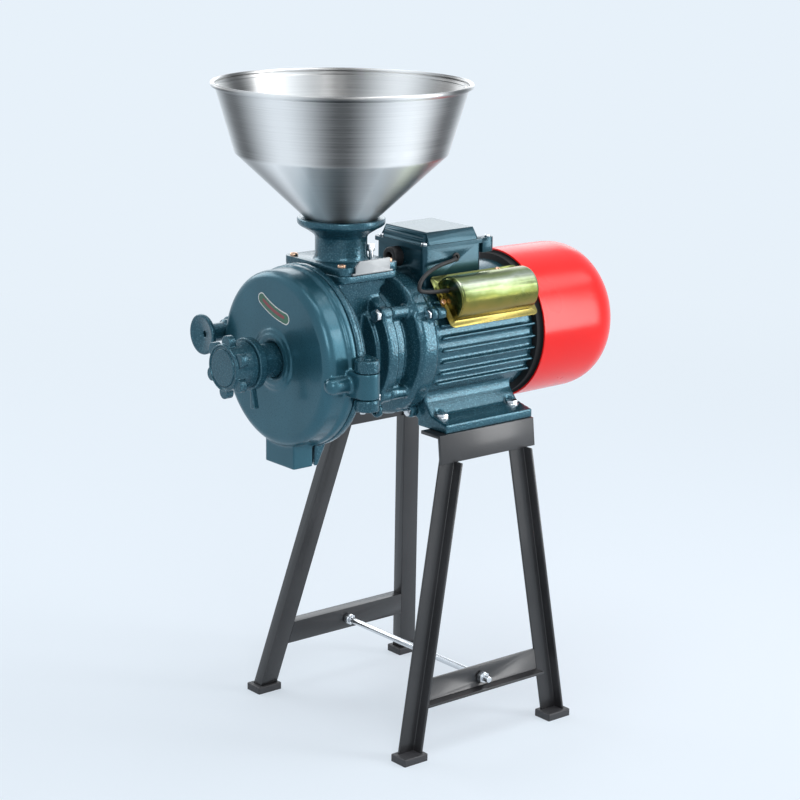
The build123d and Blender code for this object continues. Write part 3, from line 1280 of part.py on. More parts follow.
spring_x = moving_back_x + SEAT_GAP
auger_x = spring_x + 4.6
with BuildPart() as disc_spring:
    cone = [
        (spring_x, AUGER_CORE - 3.4),
        (spring_x + 1.2, AUGER_CORE - 3.4),
        (auger_x, AUGER_RADIUS - 3),
        (auger_x - 1.2, AUGER_RADIUS - 3),
    ]
    revolve(turned_face(cone), axis=shaft_axis)
disc_spring.part.label = "disc_spring"
export_step(disc_spring.part, "parts/disc_spring.step")

auger_end_x = seal_x - 2
flight_length = auger_end_x - auger_x - FLIGHT_THICKNESS
flight_steps = round(flight_length / AUGER_PITCH * FLIGHT_STEPS)
with BuildPart() as feed_auger:
    extrude(disc_face(auger_x, AUGER_CORE), amount=auger_end_x - auger_x)
    wedge = 360 / FLIGHT_STEPS
    for step in range(flight_steps):
        start = radians(step * wedge)
        end = radians((step + 1) * wedge)
        mid = radians((step + 0.5) * wedge)
        rim = AUGER_RADIUS
        with BuildSketch(cross_plane(auger_x + AUGER_PITCH * step / FLIGHT_STEPS)):
            with BuildLine():
                Line((0, 0), (rim * cos(start), rim * sin(start)))
                ThreePointArc(
                    (rim * cos(start), rim * sin(start)),
                    (rim * cos(mid), rim * sin(mid)),
                    (rim * cos(end), rim * sin(end)),
                )
                Line((rim * cos(end), rim * sin(end)), (0, 0))
            make_face()
        extrude(amount=FLIGHT_THICKNESS)
    bore = disc_face(auger_x, SHAFT_FRONT_RADIUS + RUN_GAP)
    extrude(bore, amount=auger_end_x - auger_x, mode=Mode.SUBTRACT)
feed_auger.part.label = "feed_auger"
export_step(feed_auger.part, "parts/feed_auger.step")

# ================================================================ throat, gate, hopper
throat_top = seat_z + CUP_TOP
ledge_z = throat_top - CUP_HEIGHT - SPIGOT_DEPTH
hopper_axis = Axis((hopper_x, 0, 0), (0, 0, 1))
rim_z = seat_z + HOPPER_HEIGHT
crease_z = rim_z - HOPPER_WALL_HEIGHT
cone_low_z = crease_z - CONE_HEIGHT
cone_run = (CREASE_RADIUS - SPIGOT_RADIUS) / CONE_HEIGHT
cup_gap = FREE_GAP * hypot(1, cone_run)


def upright_face(points):
    """Face with corners (radius, z), ready to be turned round the hopper's axis."""
    with BuildSketch(Plane(origin=(hopper_x, 0, 0), x_dir=(1, 0, 0), z_dir=(0, -1, 0))) as face:
        with BuildLine():
            Polyline(points, close=True)
        make_face()
    return face.sketch


def cone_radius(z):
    """Outer radius of the hopper's cone at height z."""
    return SPIGOT_RADIUS + cone_run * (z - cone_low_z)


cup_low = throat_top - CUP_HEIGHT
screw_spots = [
    (hopper_x + a * THROAT_SCREW_X, b * THROAT_SCREW_Y) for a in (-1, 1) for b in (-1, 1)
]
lock_spot = (hopper_x + LOCK_X, LOCK_Y)
LOCK_DIA = 5.0

with BuildPart() as feed_throat:
    with BuildSketch(Plane.XY.offset(seat_z)):
        with Locations((hopper_x, 0)):
            RectangleRounded(2 * PLATE_HALF_LENGTH, 2 * PLATE_HALF_WIDTH, PLATE_CORNER)
    extrude(amount=THROAT_PLATE)
    cup = [
        (NECK_BORE - 4, seat_z),
        (NECK_RADIUS, seat_z),
        (NECK_RADIUS, cup_low - 6),
        (NECK_RADIUS + 4, cup_low - 1),
        (CUP_RADIUS - 3, throat_top - CUP_EDGE - 4),
        (CUP_RADIUS, throat_top - CUP_EDGE),
        (CUP_RADIUS, throat_top - 1),
        (CUP_RADIUS - 1, throat_top),
        (cone_radius(throat_top) + cup_gap, throat_top),
        (NECK_BORE, cone_low_z + (NECK_BORE - SPIGOT_RADIUS - cup_gap) / cone_run),
        (NECK_BORE, ledge_z),
        (NECK_BORE - 4, ledge_z),
    ]
    revolve(upright_face(cup), axis=hopper_axis)
    with BuildSketch(Plane.XY.offset(seat_z)):
        with Locations((hopper_x, 0)):
            Circle(NECK_BORE - 4)
    extrude(amount=THROAT_PLATE * 2, mode=Mode.SUBTRACT)
    slot_half = GATE_HALF_WIDTH + FACE_GAP
    slot_back = GATE_BACK + 1
    with BuildSketch(Plane.XY.offset(seat_z)):
        with Locations((hopper_x, (slot_back - PLATE_HALF_WIDTH - 10) / 2)):
            Rectangle(2 * slot_half, slot_back + PLATE_HALF_WIDTH + 10)
    extrude(amount=GATE_THICKNESS + FACE_GAP, mode=Mode.SUBTRACT)
    with Locations([(x, y, seat_z + THROAT_PLATE) for x, y in screw_spots]):
        Hole(radius=M5_DIA / 2 + BOLT_GAP, depth=THROAT_PLATE)
    with Locations((*lock_spot, seat_z + THROAT_PLATE)):
        Hole(radius=LOCK_DIA / 2 + RUN_GAP, depth=THROAT_PLATE)
feed_throat.part.label = "feed_throat"
export_step(feed_throat.part, "parts/feed_throat.step")

with BuildPart() as throat_screws:
    for x, y in screw_spots:
        spot = Plane(origin=(x, y, seat_z + THROAT_PLATE))
        add(pan_head_screw(spot, M5_DIA, M5_HEAD_DIA, M5_HEAD, THROAT_PLATE + 8))
throat_screws.part.label = "throat_screws"
export_step(throat_screws.part, "parts/throat_screws.step")

gate_z = seat_z + FACE_GAP / 2
gate_front = -(PLATE_HALF_WIDTH + 1 + GATE_THICKNESS)
with BuildPart() as slide_gate:
    with BuildSketch(Plane.XY.offset(gate_z)):
        with Locations((hopper_x, (GATE_BACK + gate_front) / 2)):
            Rectangle(2 * GATE_HALF_WIDTH, GATE_BACK - gate_front)
    extrude(amount=GATE_THICKNESS)
    with BuildSketch(Plane(origin=(hopper_x, gate_front, gate_z), z_dir=(0, 1, 0), x_dir=(1, 0, 0))):
        with BuildLine():
            Polyline(
                (-GATE_TAB_HALF, 0),
                (GATE_TAB_HALF, 0),
                (GATE_TAB_HALF, -GATE_TAB_HEIGHT),
                (-GATE_TAB_HALF + 6, -GATE_TAB_HEIGHT),
                (-GATE_TAB_HALF, -GATE_TAB_HEIGHT + 6),
                close=True,
            )
        make_face()
    extrude(amount=GATE_THICKNESS)
slide_gate.part.label = "slide_gate"
export_step(slide_gate.part, "parts/slide_gate.step")

LOCK_HEAD, LOCK_HEAD_THICK = 9.0, 3.0
lock_low = gate_z + GATE_THICKNESS + FACE_GAP / 2
with BuildPart() as gate_lock_screw:
    stem = Plane(origin=(*lock_spot, lock_low))
    stem_top = seat_z + THROAT_PLATE + 11
    extrude(round_face(stem, LOCK_DIA / 2), amount=stem_top - lock_low)
    with Locations((*lock_spot, stem_top + 2)):
        Box(LOCK_HEAD, LOCK_HEAD_THICK, LOCK_HEAD - 1)
gate_lock_screw.part.label = "gate_lock_screw"
export_step(gate_lock_screw.part, "parts/gate_lock_screw.step")

with BuildPart() as hopper:
    wall_run = (HOPPER_RADIUS - 2 * BEAD_RADIUS - CREASE_RADIUS) / HOPPER_WALL_HEIGHT
    cone_wall = SHEET * hypot(1, cone_run)
    steep_wall = SHEET * hypot(1, wall_run)
    rim_radius = HOPPER_RADIUS - 2 * BEAD_RADIUS + SHEET * 0.8
    inner_low = cone_low_z + (cone_wall - SHEET) / cone_run
    shell = [
        (SPIGOT_RADIUS, ledge_z),
        (SPIGOT_RADIUS, cone_low_z),
        (CREASE_RADIUS, crease_z),
        (rim_radius, rim_z - BEAD_RADIUS),
        (rim_radius - steep_wall, rim_z - BEAD_RADIUS),
        (CREASE_RADIUS - steep_wall, crease_z + (cone_wall - steep_wall) / cone_run),
        (SPIGOT_RADIUS - SHEET, inner_low),
        (SPIGOT_RADIUS - SHEET, ledge_z),
    ]
    revolve(upright_face(shell), axis=hopper_axis)
    with BuildSketch(Plane(origin=(hopper_x, 0, 0), x_dir=(1, 0, 0), z_dir=(0, -1, 0))):
        with Locations((HOPPER_RADIUS - BEAD_RADIUS, rim_z - BEAD_RADIUS)):
            Circle(BEAD_RADIUS)
            Circle(BEAD_RADIUS - SHEET, mode=Mode.SUBTRACT)
    revolve(axis=hopper_axis)
hopper.part.label = "hopper"
export_step(hopper.part, "parts/hopper.step")

# ================================================================ cover, hinge, clamp
cover_back = seam_x - FACE_GAP
arm_y = -COVER_RADIUS - 2
arm_z = (KNUCKLE_MID + KNUCKLE_UP) / 2
cover_low = KNUCKLE_MID + FACE_GAP
cover_high = KNUCKLE_UP - FACE_GAP
with BuildPart() as front_cover:
    dish = [
        (face_x, 0),
        (face_x, COVER_RADIUS),
        (cover_back - FLANGE_WIDTH, COVER_RADIUS),
        (cover_back - FLANGE_WIDTH, FLANGE_RADIUS - 1),
        (cover_back, FLANGE_RADIUS - 1),
        (cover_back, 0),
    ]
    revolve(turned_face(dish), axis=shaft_axis)
    edge = front_cover.edges().filter_by(GeomType.CIRCLE).sort_by(Axis.X)
    fillet(edge[0], COVER_ROUND)
    mouth_front = seam_x - CHUTE_FRONT
    mouth_back = seam_x - CHUTE_SLOT
    outer = [
        (mouth_front, -COVER_RADIUS / 2),
        (mouth_back, -COVER_RADIUS / 2),
        (mouth_back, chute_low),
        (mouth_front, chute_low),
    ]
    extrude(chute_prism(outer, CHUTE_HALF_WIDTH), amount=2 * CHUTE_HALF_WIDTH)
    inner = [
        (mouth_front + CHUTE_WALL, 0),
        (cover_back, 0),
        (cover_back, chute_low),
        (mouth_front + CHUTE_WALL, chute_low),
    ]
    arm_end = Plane(origin=(seam_x - ARM_REACH, arm_y, axis_z + arm_z), z_dir=(1, 0, 0))
    extrude(round_face(arm_end, ARM_RADIUS), amount=ARM_REACH - FACE_GAP)
    with Locations(arm_end):
        Sphere(ARM_RADIUS)
    extrude(knuckle(cover_low, cover_high), amount=cover_high - cover_low)
    link = hinge_link(cover_low, seam_x - KNUCKLE_RADIUS, cover_back, -COVER_RADIUS + 3)
    extrude(link, amount=cover_high - cover_low)
    ear_face = disc_face(seam_x - EAR_THICKNESS, EAR_RADIUS, 0, CLAMP_Y, CLAMP_Z)
    extrude(ear_face, amount=EAR_THICKNESS - FACE_GAP)
    with BuildSketch(cross_plane(seam_x - EAR_THICKNESS)):
        with Locations(((CLAMP_Y + COVER_RADIUS - 12) / 2, CLAMP_Z)):
            Rectangle(CLAMP_Y - COVER_RADIUS + 12, 2 * EAR_RADIUS)
    extrude(amount=EAR_THICKNESS - FACE_GAP)
    extrude(chute_prism(inner, fall_half), amount=2 * fall_half, mode=Mode.SUBTRACT)
    cavity_front = face_x + COVER_FACE
    cavity = [
        (cavity_front, HUB_RADIUS),
        (cavity_front, COVER_BORE),
        (seam_x, COVER_BORE),
        (seam_x, 0),
        (cavity_front + HUB_INNER, 0),
        (cavity_front + HUB_INNER, HUB_RADIUS),
    ]
    revolve(turned_face(cavity), axis=shaft_axis, mode=Mode.SUBTRACT)
    hub = [
        (hub_x, SLEEVE_RADIUS),
        (hub_x, HUB_STEP),
        (hub_x + HUB_HEIGHT / 2, HUB_STEP),
        (hub_x + HUB_HEIGHT / 2, HUB_RADIUS),
        (face_x, HUB_RADIUS),
        (face_x, SLEEVE_RADIUS),
    ]
    revolve(turned_face(hub), axis=shaft_axis)
    sleeve_hole = disc_face(hub_x, SLEEVE_RADIUS + RUN_GAP)
    extrude(sleeve_hole, amount=COVER_DEPTH, mode=Mode.SUBTRACT)
    extrude(disc_face(hub_x, SLEEVE_RADIUS + 4), amount=HUB_HEIGHT / 2, mode=Mode.SUBTRACT)
    with Locations((pin_x, PIN_Y, axis_z + cover_high)):
        Hole(radius=PIN_DIA / 2 + RUN_GAP, depth=cover_high - cover_low)
    ear_bore = disc_face(seam_x - EAR_THICKNESS, CLAMP_DIA / 2 + RUN_GAP, 0, CLAMP_Y, CLAMP_Z)
    extrude(ear_bore, amount=EAR_THICKNESS, mode=Mode.SUBTRACT)
front_cover.part.label = "front_cover"
export_step(front_cover.part, "parts/front_cover.step")

with BuildPart() as hinge_pin:
    stem = Plane(origin=(pin_x, PIN_Y, axis_z + KNUCKLE_LOW - 1))
    extrude(round_face(stem, PIN_DIA / 2), amount=KNUCKLE_TOP - KNUCKLE_LOW + 2)
    chamfer(hinge_pin.edges().filter_by(GeomType.CIRCLE), 0.6)
hinge_pin.part.label = "hinge_pin"
export_step(hinge_pin.part, "parts/hinge_pin.step")

badge_tilt = radians(BADGE_TILT)
badge_plane = Plane(
    origin=(face_x, 0, axis_z + BADGE_LIFT),
    x_dir=(0, -cos(badge_tilt), -sin(badge_tilt)),
    z_dir=(-1, 0, 0),
)
with BuildPart() as cover_badge:
    with BuildSketch(badge_plane):
        turn = degrees(BADGE_LENGTH / BADGE_BEND)
        with BuildLine():
            low = CenterArc((0, BADGE_BEND), BADGE_BEND + BADGE_WIDTH / 2, 270 - turn / 2, turn)
            high = CenterArc((0, BADGE_BEND), BADGE_BEND - BADGE_WIDTH / 2, 270 - turn / 2, turn)
            Line(low @ 0, high @ 0)
            Line(low @ 1, high @ 1)
        badge_face = make_face()
        fillet(badge_face.vertices(), BADGE_WIDTH * 0.45)
    extrude(amount=BADGE_THICKNESS)
cover_badge.part.label = "cover_badge"
export_step(cover_badge.part, "parts/cover_badge.step")

clamp_head_x = seam_x - EAR_THICKNESS - FACE_GAP
clamp_tip_x = seam_x + LUG_THICKNESS
clamp_plane = Plane(
    origin=(0, CLAMP_Y, axis_z + CLAMP_Z), x_dir=(1, 0, 0), z_dir=(0, -1, 0)
)
clamp_axis = Axis((0, CLAMP_Y, axis_z + CLAMP_Z), (1, 0, 0))
knob_far = clamp_head_x - CLAMP_KNOB_LENGTH

with BuildPart() as clamp_screw:
    length = clamp_tip_x - knob_far - 11
    extrude(disc_face(knob_far + 11, CLAMP_DIA / 2, 0, CLAMP_Y, CLAMP_Z), amount=length)
    chamfer(clamp_screw.edges().filter_by(GeomType.CIRCLE), 1)
clamp_screw.part.label = "clamp_screw"
export_step(clamp_screw.part, "parts/clamp_screw.step")

with BuildPart() as clamp_knob:
    spool = [
        (knob_far, CLAMP_KNOB_RADIUS - 2),
        (knob_far + 1, CLAMP_KNOB_RADIUS),
        (knob_far + 5, CLAMP_KNOB_RADIUS),
        (knob_far + 9, CLAMP_NECK_RADIUS + 3),
        (knob_far + 12, CLAMP_NECK_RADIUS),
        (clamp_head_x - 8, CLAMP_NECK_RADIUS),
        (clamp_head_x - 6, CLAMP_NECK_RADIUS + 3),
        (clamp_head_x, CLAMP_NECK_RADIUS + 3),
        (clamp_head_x, CLAMP_DIA / 2 + RUN_GAP),
        (knob_far + 10, CLAMP_DIA / 2 + RUN_GAP),
        (knob_far + 10, 3.5),
        (knob_far + 5, 3.5),
    ]
    with BuildSketch(clamp_plane):
        with BuildLine():
            Polyline(spool, close=True)
        make_face()
    revolve(axis=clamp_axis)
clamp_knob.part.label = "clamp_knob"
export_step(clamp_knob.part, "parts/clamp_knob.step")

# ================================================================ adjuster
sleeve_in_x = cavity_front + HUB_INNER
sleeve_out_x = sleeve_in_x - SLEEVE_LENGTH
with BuildPart() as adjusting_sleeve:
    tube = disc_face(sleeve_out_x, SLEEVE_RADIUS, THRUST_RADIUS + RUN_GAP)
    extrude(tube, amount=SLEEVE_LENGTH)
adjusting_sleeve.part.label = "adjusting_sleeve"
export_step(adjusting_sleeve.part, "parts/adjusting_sleeve.step")

knob_floor_x = knob_front_x + KNOB_WALL
ball_x = disc_hub_x - RUN_GAP - BALL_RADIUS
pin_tip_x = ball_x - BALL_RADIUS * 0.2
with BuildPart() as thrust_ball:
    with Locations((ball_x, 0, axis_z)):
        Sphere(BALL_RADIUS)
thrust_ball.part.label = "thrust_ball"
export_step(thrust_ball.part, "parts/thrust_ball.step")

with BuildPart() as thrust_pin:
    extrude(disc_face(knob_floor_x, THRUST_RADIUS), amount=pin_tip_x - knob_floor_x)
    with Locations((ball_x, 0, axis_z)):
        Sphere(BALL_RADIUS + RUN_GAP, mode=Mode.SUBTRACT)
thrust_pin.part.label = "thrust_pin"
export_step(thrust_pin.part, "parts/thrust_pin.step")

with BuildPart() as adjusting_knob:
    extrude(disc_face(knob_front_x, KNOB_RADIUS), amount=KNOB_LENGTH)
    with BuildSketch(cross_plane(knob_front_x + LOBE_SETBACK)):
        with PolarLocations(LOBE_CIRCLE, LOBE_COUNT, start_angle=LOBE_PHASE):
            Circle(LOBE_RADIUS)
    extrude(amount=LOBE_THICKNESS)
    front_edge = adjusting_knob.faces().sort_by(Axis.X)[0].edges()
    fillet(front_edge, 1.5)
    groove = disc_face(knob_front_x, KNOB_RADIUS - 2.5, KNOB_RADIUS - 5)
    extrude(groove, amount=1, mode=Mode.SUBTRACT)
    bore = disc_face(knob_floor_x, SLEEVE_RADIUS + FREE_GAP)
    extrude(bore, amount=knob_back_x - knob_floor_x, mode=Mode.SUBTRACT)
adjusting_knob.part.label = "adjusting_knob"
export_step(adjusting_knob.part, "parts/adjusting_knob.step")

with BuildPart() as lock_ring:
    extrude(disc_face(lock_x, LOCK_RADIUS), amount=LOCK_WIDTH)
    with BuildSketch(cross_plane(lock_x + 1)):
        with Locations((-LOCK_RADIUS * 0.35, -(LOCK_RADIUS + LOCK_LEVER) / 2)):
            Trapezoid(LEVER_WIDTH, LOCK_LEVER - LOCK_RADIUS + 8, 84, rotation=-8)
    extrude(amount=LOCK_WIDTH - 3)
    bore = disc_face(lock_x, SLEEVE_RADIUS + FREE_GAP)
    extrude(bore, amount=LOCK_WIDTH, mode=Mode.SUBTRACT)
lock_ring.part.label = "lock_ring"
export_step(lock_ring.part, "parts/lock_ring.step")
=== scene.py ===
"""Electric grain mill on a steel stand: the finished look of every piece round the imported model."""

import logging
import math
from dataclasses import dataclass
from enum import Enum
from functools import cache
from typing import Iterable, Sequence

import bpy
from mathutils import Matrix, Vector


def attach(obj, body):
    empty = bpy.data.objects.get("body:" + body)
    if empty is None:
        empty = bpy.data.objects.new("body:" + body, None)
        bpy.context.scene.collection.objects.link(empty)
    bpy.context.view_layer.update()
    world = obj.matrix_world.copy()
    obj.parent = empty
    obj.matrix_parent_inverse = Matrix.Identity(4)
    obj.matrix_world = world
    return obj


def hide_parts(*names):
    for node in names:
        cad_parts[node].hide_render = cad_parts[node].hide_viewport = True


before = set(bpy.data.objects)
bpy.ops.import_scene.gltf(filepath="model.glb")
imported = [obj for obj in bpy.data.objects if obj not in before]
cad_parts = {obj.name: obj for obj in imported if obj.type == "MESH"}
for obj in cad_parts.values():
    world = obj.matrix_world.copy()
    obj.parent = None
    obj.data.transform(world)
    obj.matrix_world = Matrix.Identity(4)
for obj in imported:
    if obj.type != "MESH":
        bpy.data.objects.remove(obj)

log = logging.getLogger("grain_mill")
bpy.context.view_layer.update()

Point = tuple[float, float, float]
Ring = tuple[float, float]
Colour = tuple[float, float, float]
Inputs = dict[str | int, object]
Thing = bpy.types.Object
Node = bpy.types.Node
Socket = bpy.types.NodeSocket
Sockets = bpy.types.bpy_prop_collection
Tree = bpy.types.NodeTree
Material = bpy.types.Material
Row = tuple[str, str, float, int, Material, str]


def mm(value: float) -> float:
    """Millimetres as metres."""
    return value / 1000.0


def metres(values: Iterable[float]) -> tuple[float, ...]:
    """A point or step in millimetres as metres."""
    return tuple(mm(value) for value in values)


def arc(centre: Ring, radius: float, start: float, end: float, steps: int = 8) -> list[Ring]:
    """Corners along an arc.

    Args:
        centre: The arc's centre.
        radius: Its radius.
        start: First angle in degrees.
        end: Last angle in degrees.
        steps: Pieces that it is made of.

    Returns:
        The corners, both ends included.
    """
    turns = [math.radians(start + (end - start) * i / steps) for i in range(steps + 1)]
    return [(centre[0] + radius * math.cos(t), centre[1] + radius * math.sin(t)) for t in turns]


# ---------------- stations of the whole mill
@dataclass(frozen=True)
class Stations:
    """Shared places of the mill in millimetres; X runs along the shaft and Z is up."""

    hopper_x: float = -108.55
    axis_z: float = 467.0
    cover_face: float = -205.55
    cowl: float = 131.45
    cowl_end: float = 276.45
    seat: float = 565.0


AT = Stations()


class Change(Enum):
    """How other solids change a body."""

    WELD = "UNION"
    CARVE = "DIFFERENCE"


class Way(Enum):
    """Direction of a turned piece's axis."""

    SHAFT = (1.0, 0.0, 0.0)
    UPRIGHT = (0.0, 0.0, 1.0)


# ---------------- modelling, with lengths in millimetres
SHARP = 32.0  # degrees between two faces from which their edge is rounded or shown sharp
ROUNDED = 40.0  # degrees up to which rounded pieces are shaded smooth
FLAT = 0.4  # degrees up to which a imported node's neighbouring faces are one face
MERGE = 0.01  # corners this close in a modelled piece are one corner
MERGE_NODE = 0.005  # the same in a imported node


def release() -> None:
    """Leaves edit mode and deselects everything."""
    active = bpy.context.view_layer.objects.active
    if active is not None and active.mode != "OBJECT":
        bpy.ops.object.mode_set(mode="OBJECT")
    bpy.ops.object.select_all(action="DESELECT")


def pick(piece: Thing) -> None:
    """Selects one piece and makes it active.

    Args:
        piece: The object to work on.
    """
    release()
    piece.select_set(True)
    bpy.context.view_layer.objects.active = piece


def edit_all() -> None:
    """Enters edit mode with the active piece's whole mesh selected."""
    bpy.ops.object.mode_set(mode="EDIT")
    bpy.ops.mesh.select_all(action="SELECT")


def settle(piece: Thing, name: str) -> Thing:
    """Names a new object and puts its place into its mesh.

    Args:
        piece: The new object.
        name: The piece's name.

    Returns:
        The same object, at the origin.
    """
    piece.name = name
    piece.data.name = name
    pick(piece)
    bpy.ops.object.transform_apply(location=True, rotation=True, scale=True)
    return piece


def change(piece: Thing, kind: str, **settings: object) -> None:
    """Adds a modifier to a piece and applies it.

    Args:
        piece: The object to change.
        kind: The modifier's type.
        settings: The modifier's properties by name.
    """
    pick(piece)
    modifier = piece.modifiers.new("change", kind)
    for name, value in settings.items():
        setattr(modifier, name, value)
    bpy.ops.object.modifier_apply(modifier=modifier.name)


def smooth(piece: Thing, angle: float) -> Thing:
    """Shades a piece smooth except over sharp edges.

    Args:
        piece: The object to shade.
        angle: Edges up to this many degrees are smooth.

    Returns:
        The same object.
    """
    pick(piece)
    bpy.ops.object.shade_smooth_by_angle(angle=math.radians(angle))
    return piece


def trace(name: str, points: Sequence[Point]) -> Thing:
    """Draws an open line of edges by extruding one corner through the points.

    Args:
        name: The piece's name.
        points: The corners in order.

    Returns:
        The object, still in edit mode with its last corner selected.
    """
    release()
    bpy.ops.mesh.primitive_plane_add(size=mm(2), location=metres(points[0]))
    piece = settle(bpy.context.object, name)
    edit_all()
    bpy.ops.mesh.merge(type="CENTER")
    here = Vector(points[0])
    for point in points[1:]:
        move = {"value": metres(Vector(point) - here)}
        bpy.ops.mesh.extrude_region_move(TRANSFORM_OT_translate=move)
        here = Vector(point)
    return piece


def tidy(piece: Thing) -> Thing:
    """Merges doubles and turns every face outwards.

    Args:
        piece: The object to clean.

    Returns:
        The same object.
    """
    pick(piece)
    edit_all()
    bpy.ops.mesh.remove_doubles(threshold=mm(MERGE))
    bpy.ops.mesh.normals_make_consistent(inside=False)
    bpy.ops.object.mode_set(mode="OBJECT")
    return piece


def turned(
    name: str,
    rings: Sequence[Ring],
    way: Way = Way.SHAFT,
    centre: Point = (0.0, 0.0, AT.axis_z),
    steps: int = 128,
    closed: bool = True,
) -> Thing:
    """Turns a half outline round an axis.

    Args:
        name: The piece's name.
        rings: Corners as (place along the axis, radius).
        way: Direction of the axis.
        centre: A point on the axis; places along it count from the frame's origin.
        steps: Faces round the axis.
        closed: Whether the outline returns to its first corner.

    Returns:
        The turned solid.
    """
    loop = list(rings) + ([rings[0]] if closed else [])
    if way is Way.SHAFT:
        points = [(x, centre[1] + r, centre[2]) for x, r in loop]
    else:
        points = [(centre[0] + r, centre[1], z) for z, r in loop]
    piece = trace(name, points)
    bpy.ops.mesh.select_all(action="SELECT")
    bpy.ops.mesh.remove_doubles(threshold=mm(MERGE))
    bpy.ops.mesh.select_all(action="SELECT")
    bpy.ops.mesh.spin(steps=steps, angle=math.tau, center=metres(centre), axis=way.value)
    return tidy(piece)


def slab(name: str, points: Sequence[Point], step: Point) -> Thing:
    """Fills a flat outline and extrudes it straight.

    Args:
        name: The piece's name.
        points: The outline's corners in order.
        step: How far and which way the face is extruded.

    Returns:
        The solid.
    """
    piece = trace(name, points)
    bpy.ops.mesh.select_all(action="SELECT")
    bpy.ops.mesh.edge_face_add()
    bpy.ops.mesh.extrude_region_move(TRANSFORM_OT_translate={"value": metres(step)})
    return tidy(piece)


def rod(name: str, start: Point, end: Point, radius: float, sides: int) -> Thing:
    """A round bar between two points.

    Args:
        name: The piece's name.
        start: Centre of its first end.
        end: Centre of its last end.
        radius: Its radius.
        sides: Faces round it.

    Returns:
        The bar.
    """
    run = Vector(end) - Vector(start)
    release()
    bpy.ops.mesh.primitive_cone_add(
        vertices=sides,
        radius1=mm(radius),
        radius2=mm(radius),
        depth=mm(run.length),
        location=metres((Vector(start) + Vector(end)) / 2),
        rotation=run.to_track_quat("Z", "Y").to_euler(),
    )
    return settle(bpy.context.object, name)


def combine(body: Thing, how: Change, *tools: Thing) -> Thing:
    """Joins or cuts a body with other solids, which are used up.

    Args:
        body: The solid that is kept.
        how: Whether they are joined to it or cut out of it.
        tools: The other solids.

    Returns:
        The body.
    """
    for tool in tools:
        change(body, "BOOLEAN", operation=how.value, solver="EXACT", object=tool)
        bpy.data.objects.remove(tool, do_unlink=True)
    return body


def soften(piece: Thing, width: float, segments: int) -> Thing:
    """Rounds a piece's edges and smooths its curved faces.

    Args:
        piece: The object to finish.
        width: Width of the rounding.
        segments: Faces across the rounding.

    Returns:
        The same object.
    """
    change(
        tidy(piece),
        "BEVEL",
        width=mm(width),
        segments=segments,
        limit_method="ANGLE",
        angle_limit=math.radians(SHARP),
        use_clamp_overlap=True,
        miter_outer="MITER_ARC",
    )
    return smooth(piece, ROUNDED)


def again(piece: Thing, name: str, spot: Matrix) -> Thing:
    """Copies an object with its own mesh to another place.

    Args:
        piece: The object to copy.
        name: The copy's name.
        spot: Where the copy goes, in metres.

    Returns:
        The copy.
    """
    twin = piece.copy()
    twin.data = piece.data.copy()
    bpy.context.scene.collection.objects.link(twin)
    twin.parent = None
    twin.matrix_world = spot
    twin.hide_render = False
    twin.hide_viewport = False
    return settle(twin, name)


def recast(node: str, name: str, width: float = 0.0, segments: int = 2) -> Thing:
    """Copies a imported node's mesh as one welded skin, with softened edges.

    Args:
        node: The node that the piece stands for.
        name: The piece's name.
        width: Width of the edge rounding, none where zero.
        segments: Faces across the rounding.

    Returns:
        The new piece.
    """
    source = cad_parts[node]
    piece = again(source, name, source.matrix_world.copy())
    edit_all()
    bpy.ops.mesh.remove_doubles(threshold=mm(MERGE_NODE))
    bpy.ops.mesh.dissolve_limited(angle_limit=math.radians(FLAT))
    bpy.ops.object.mode_set(mode="OBJECT")
    if width:
        return soften(piece, width, segments)
    return smooth(piece, SHARP)


def rub_down(piece: Thing, grain: float, rub: int, keep: float = 1.0) -> Thing:
    """Gives a solid the even skin and round corners of a sand casting.

    Args:
        piece: The closed solid or solids.
        grain: Size of the skin's faces.
        rub: How often the skin is smoothed.
        keep: Share of the faces that is kept.

    Returns:
        The same object.
    """
    change(piece, "REMESH", mode="VOXEL", voxel_size=mm(grain))
    change(piece, "SMOOTH", factor=0.5, iterations=rub)
    if keep < 1.0:
        change(piece, "DECIMATE", ratio=keep)
    bpy.ops.object.shade_smooth()
    return piece


def gather(name: str, pieces: Sequence[Thing]) -> Thing:
    """Joins several objects into one piece without cutting them.

    Args:
        name: The piece's name.
        pieces: The objects.

    Returns:
        The joined object.
    """
    pick(pieces[0])
    for piece in pieces[1:]:
        piece.select_set(True)
    bpy.ops.object.join()
    return settle(bpy.context.object, name)


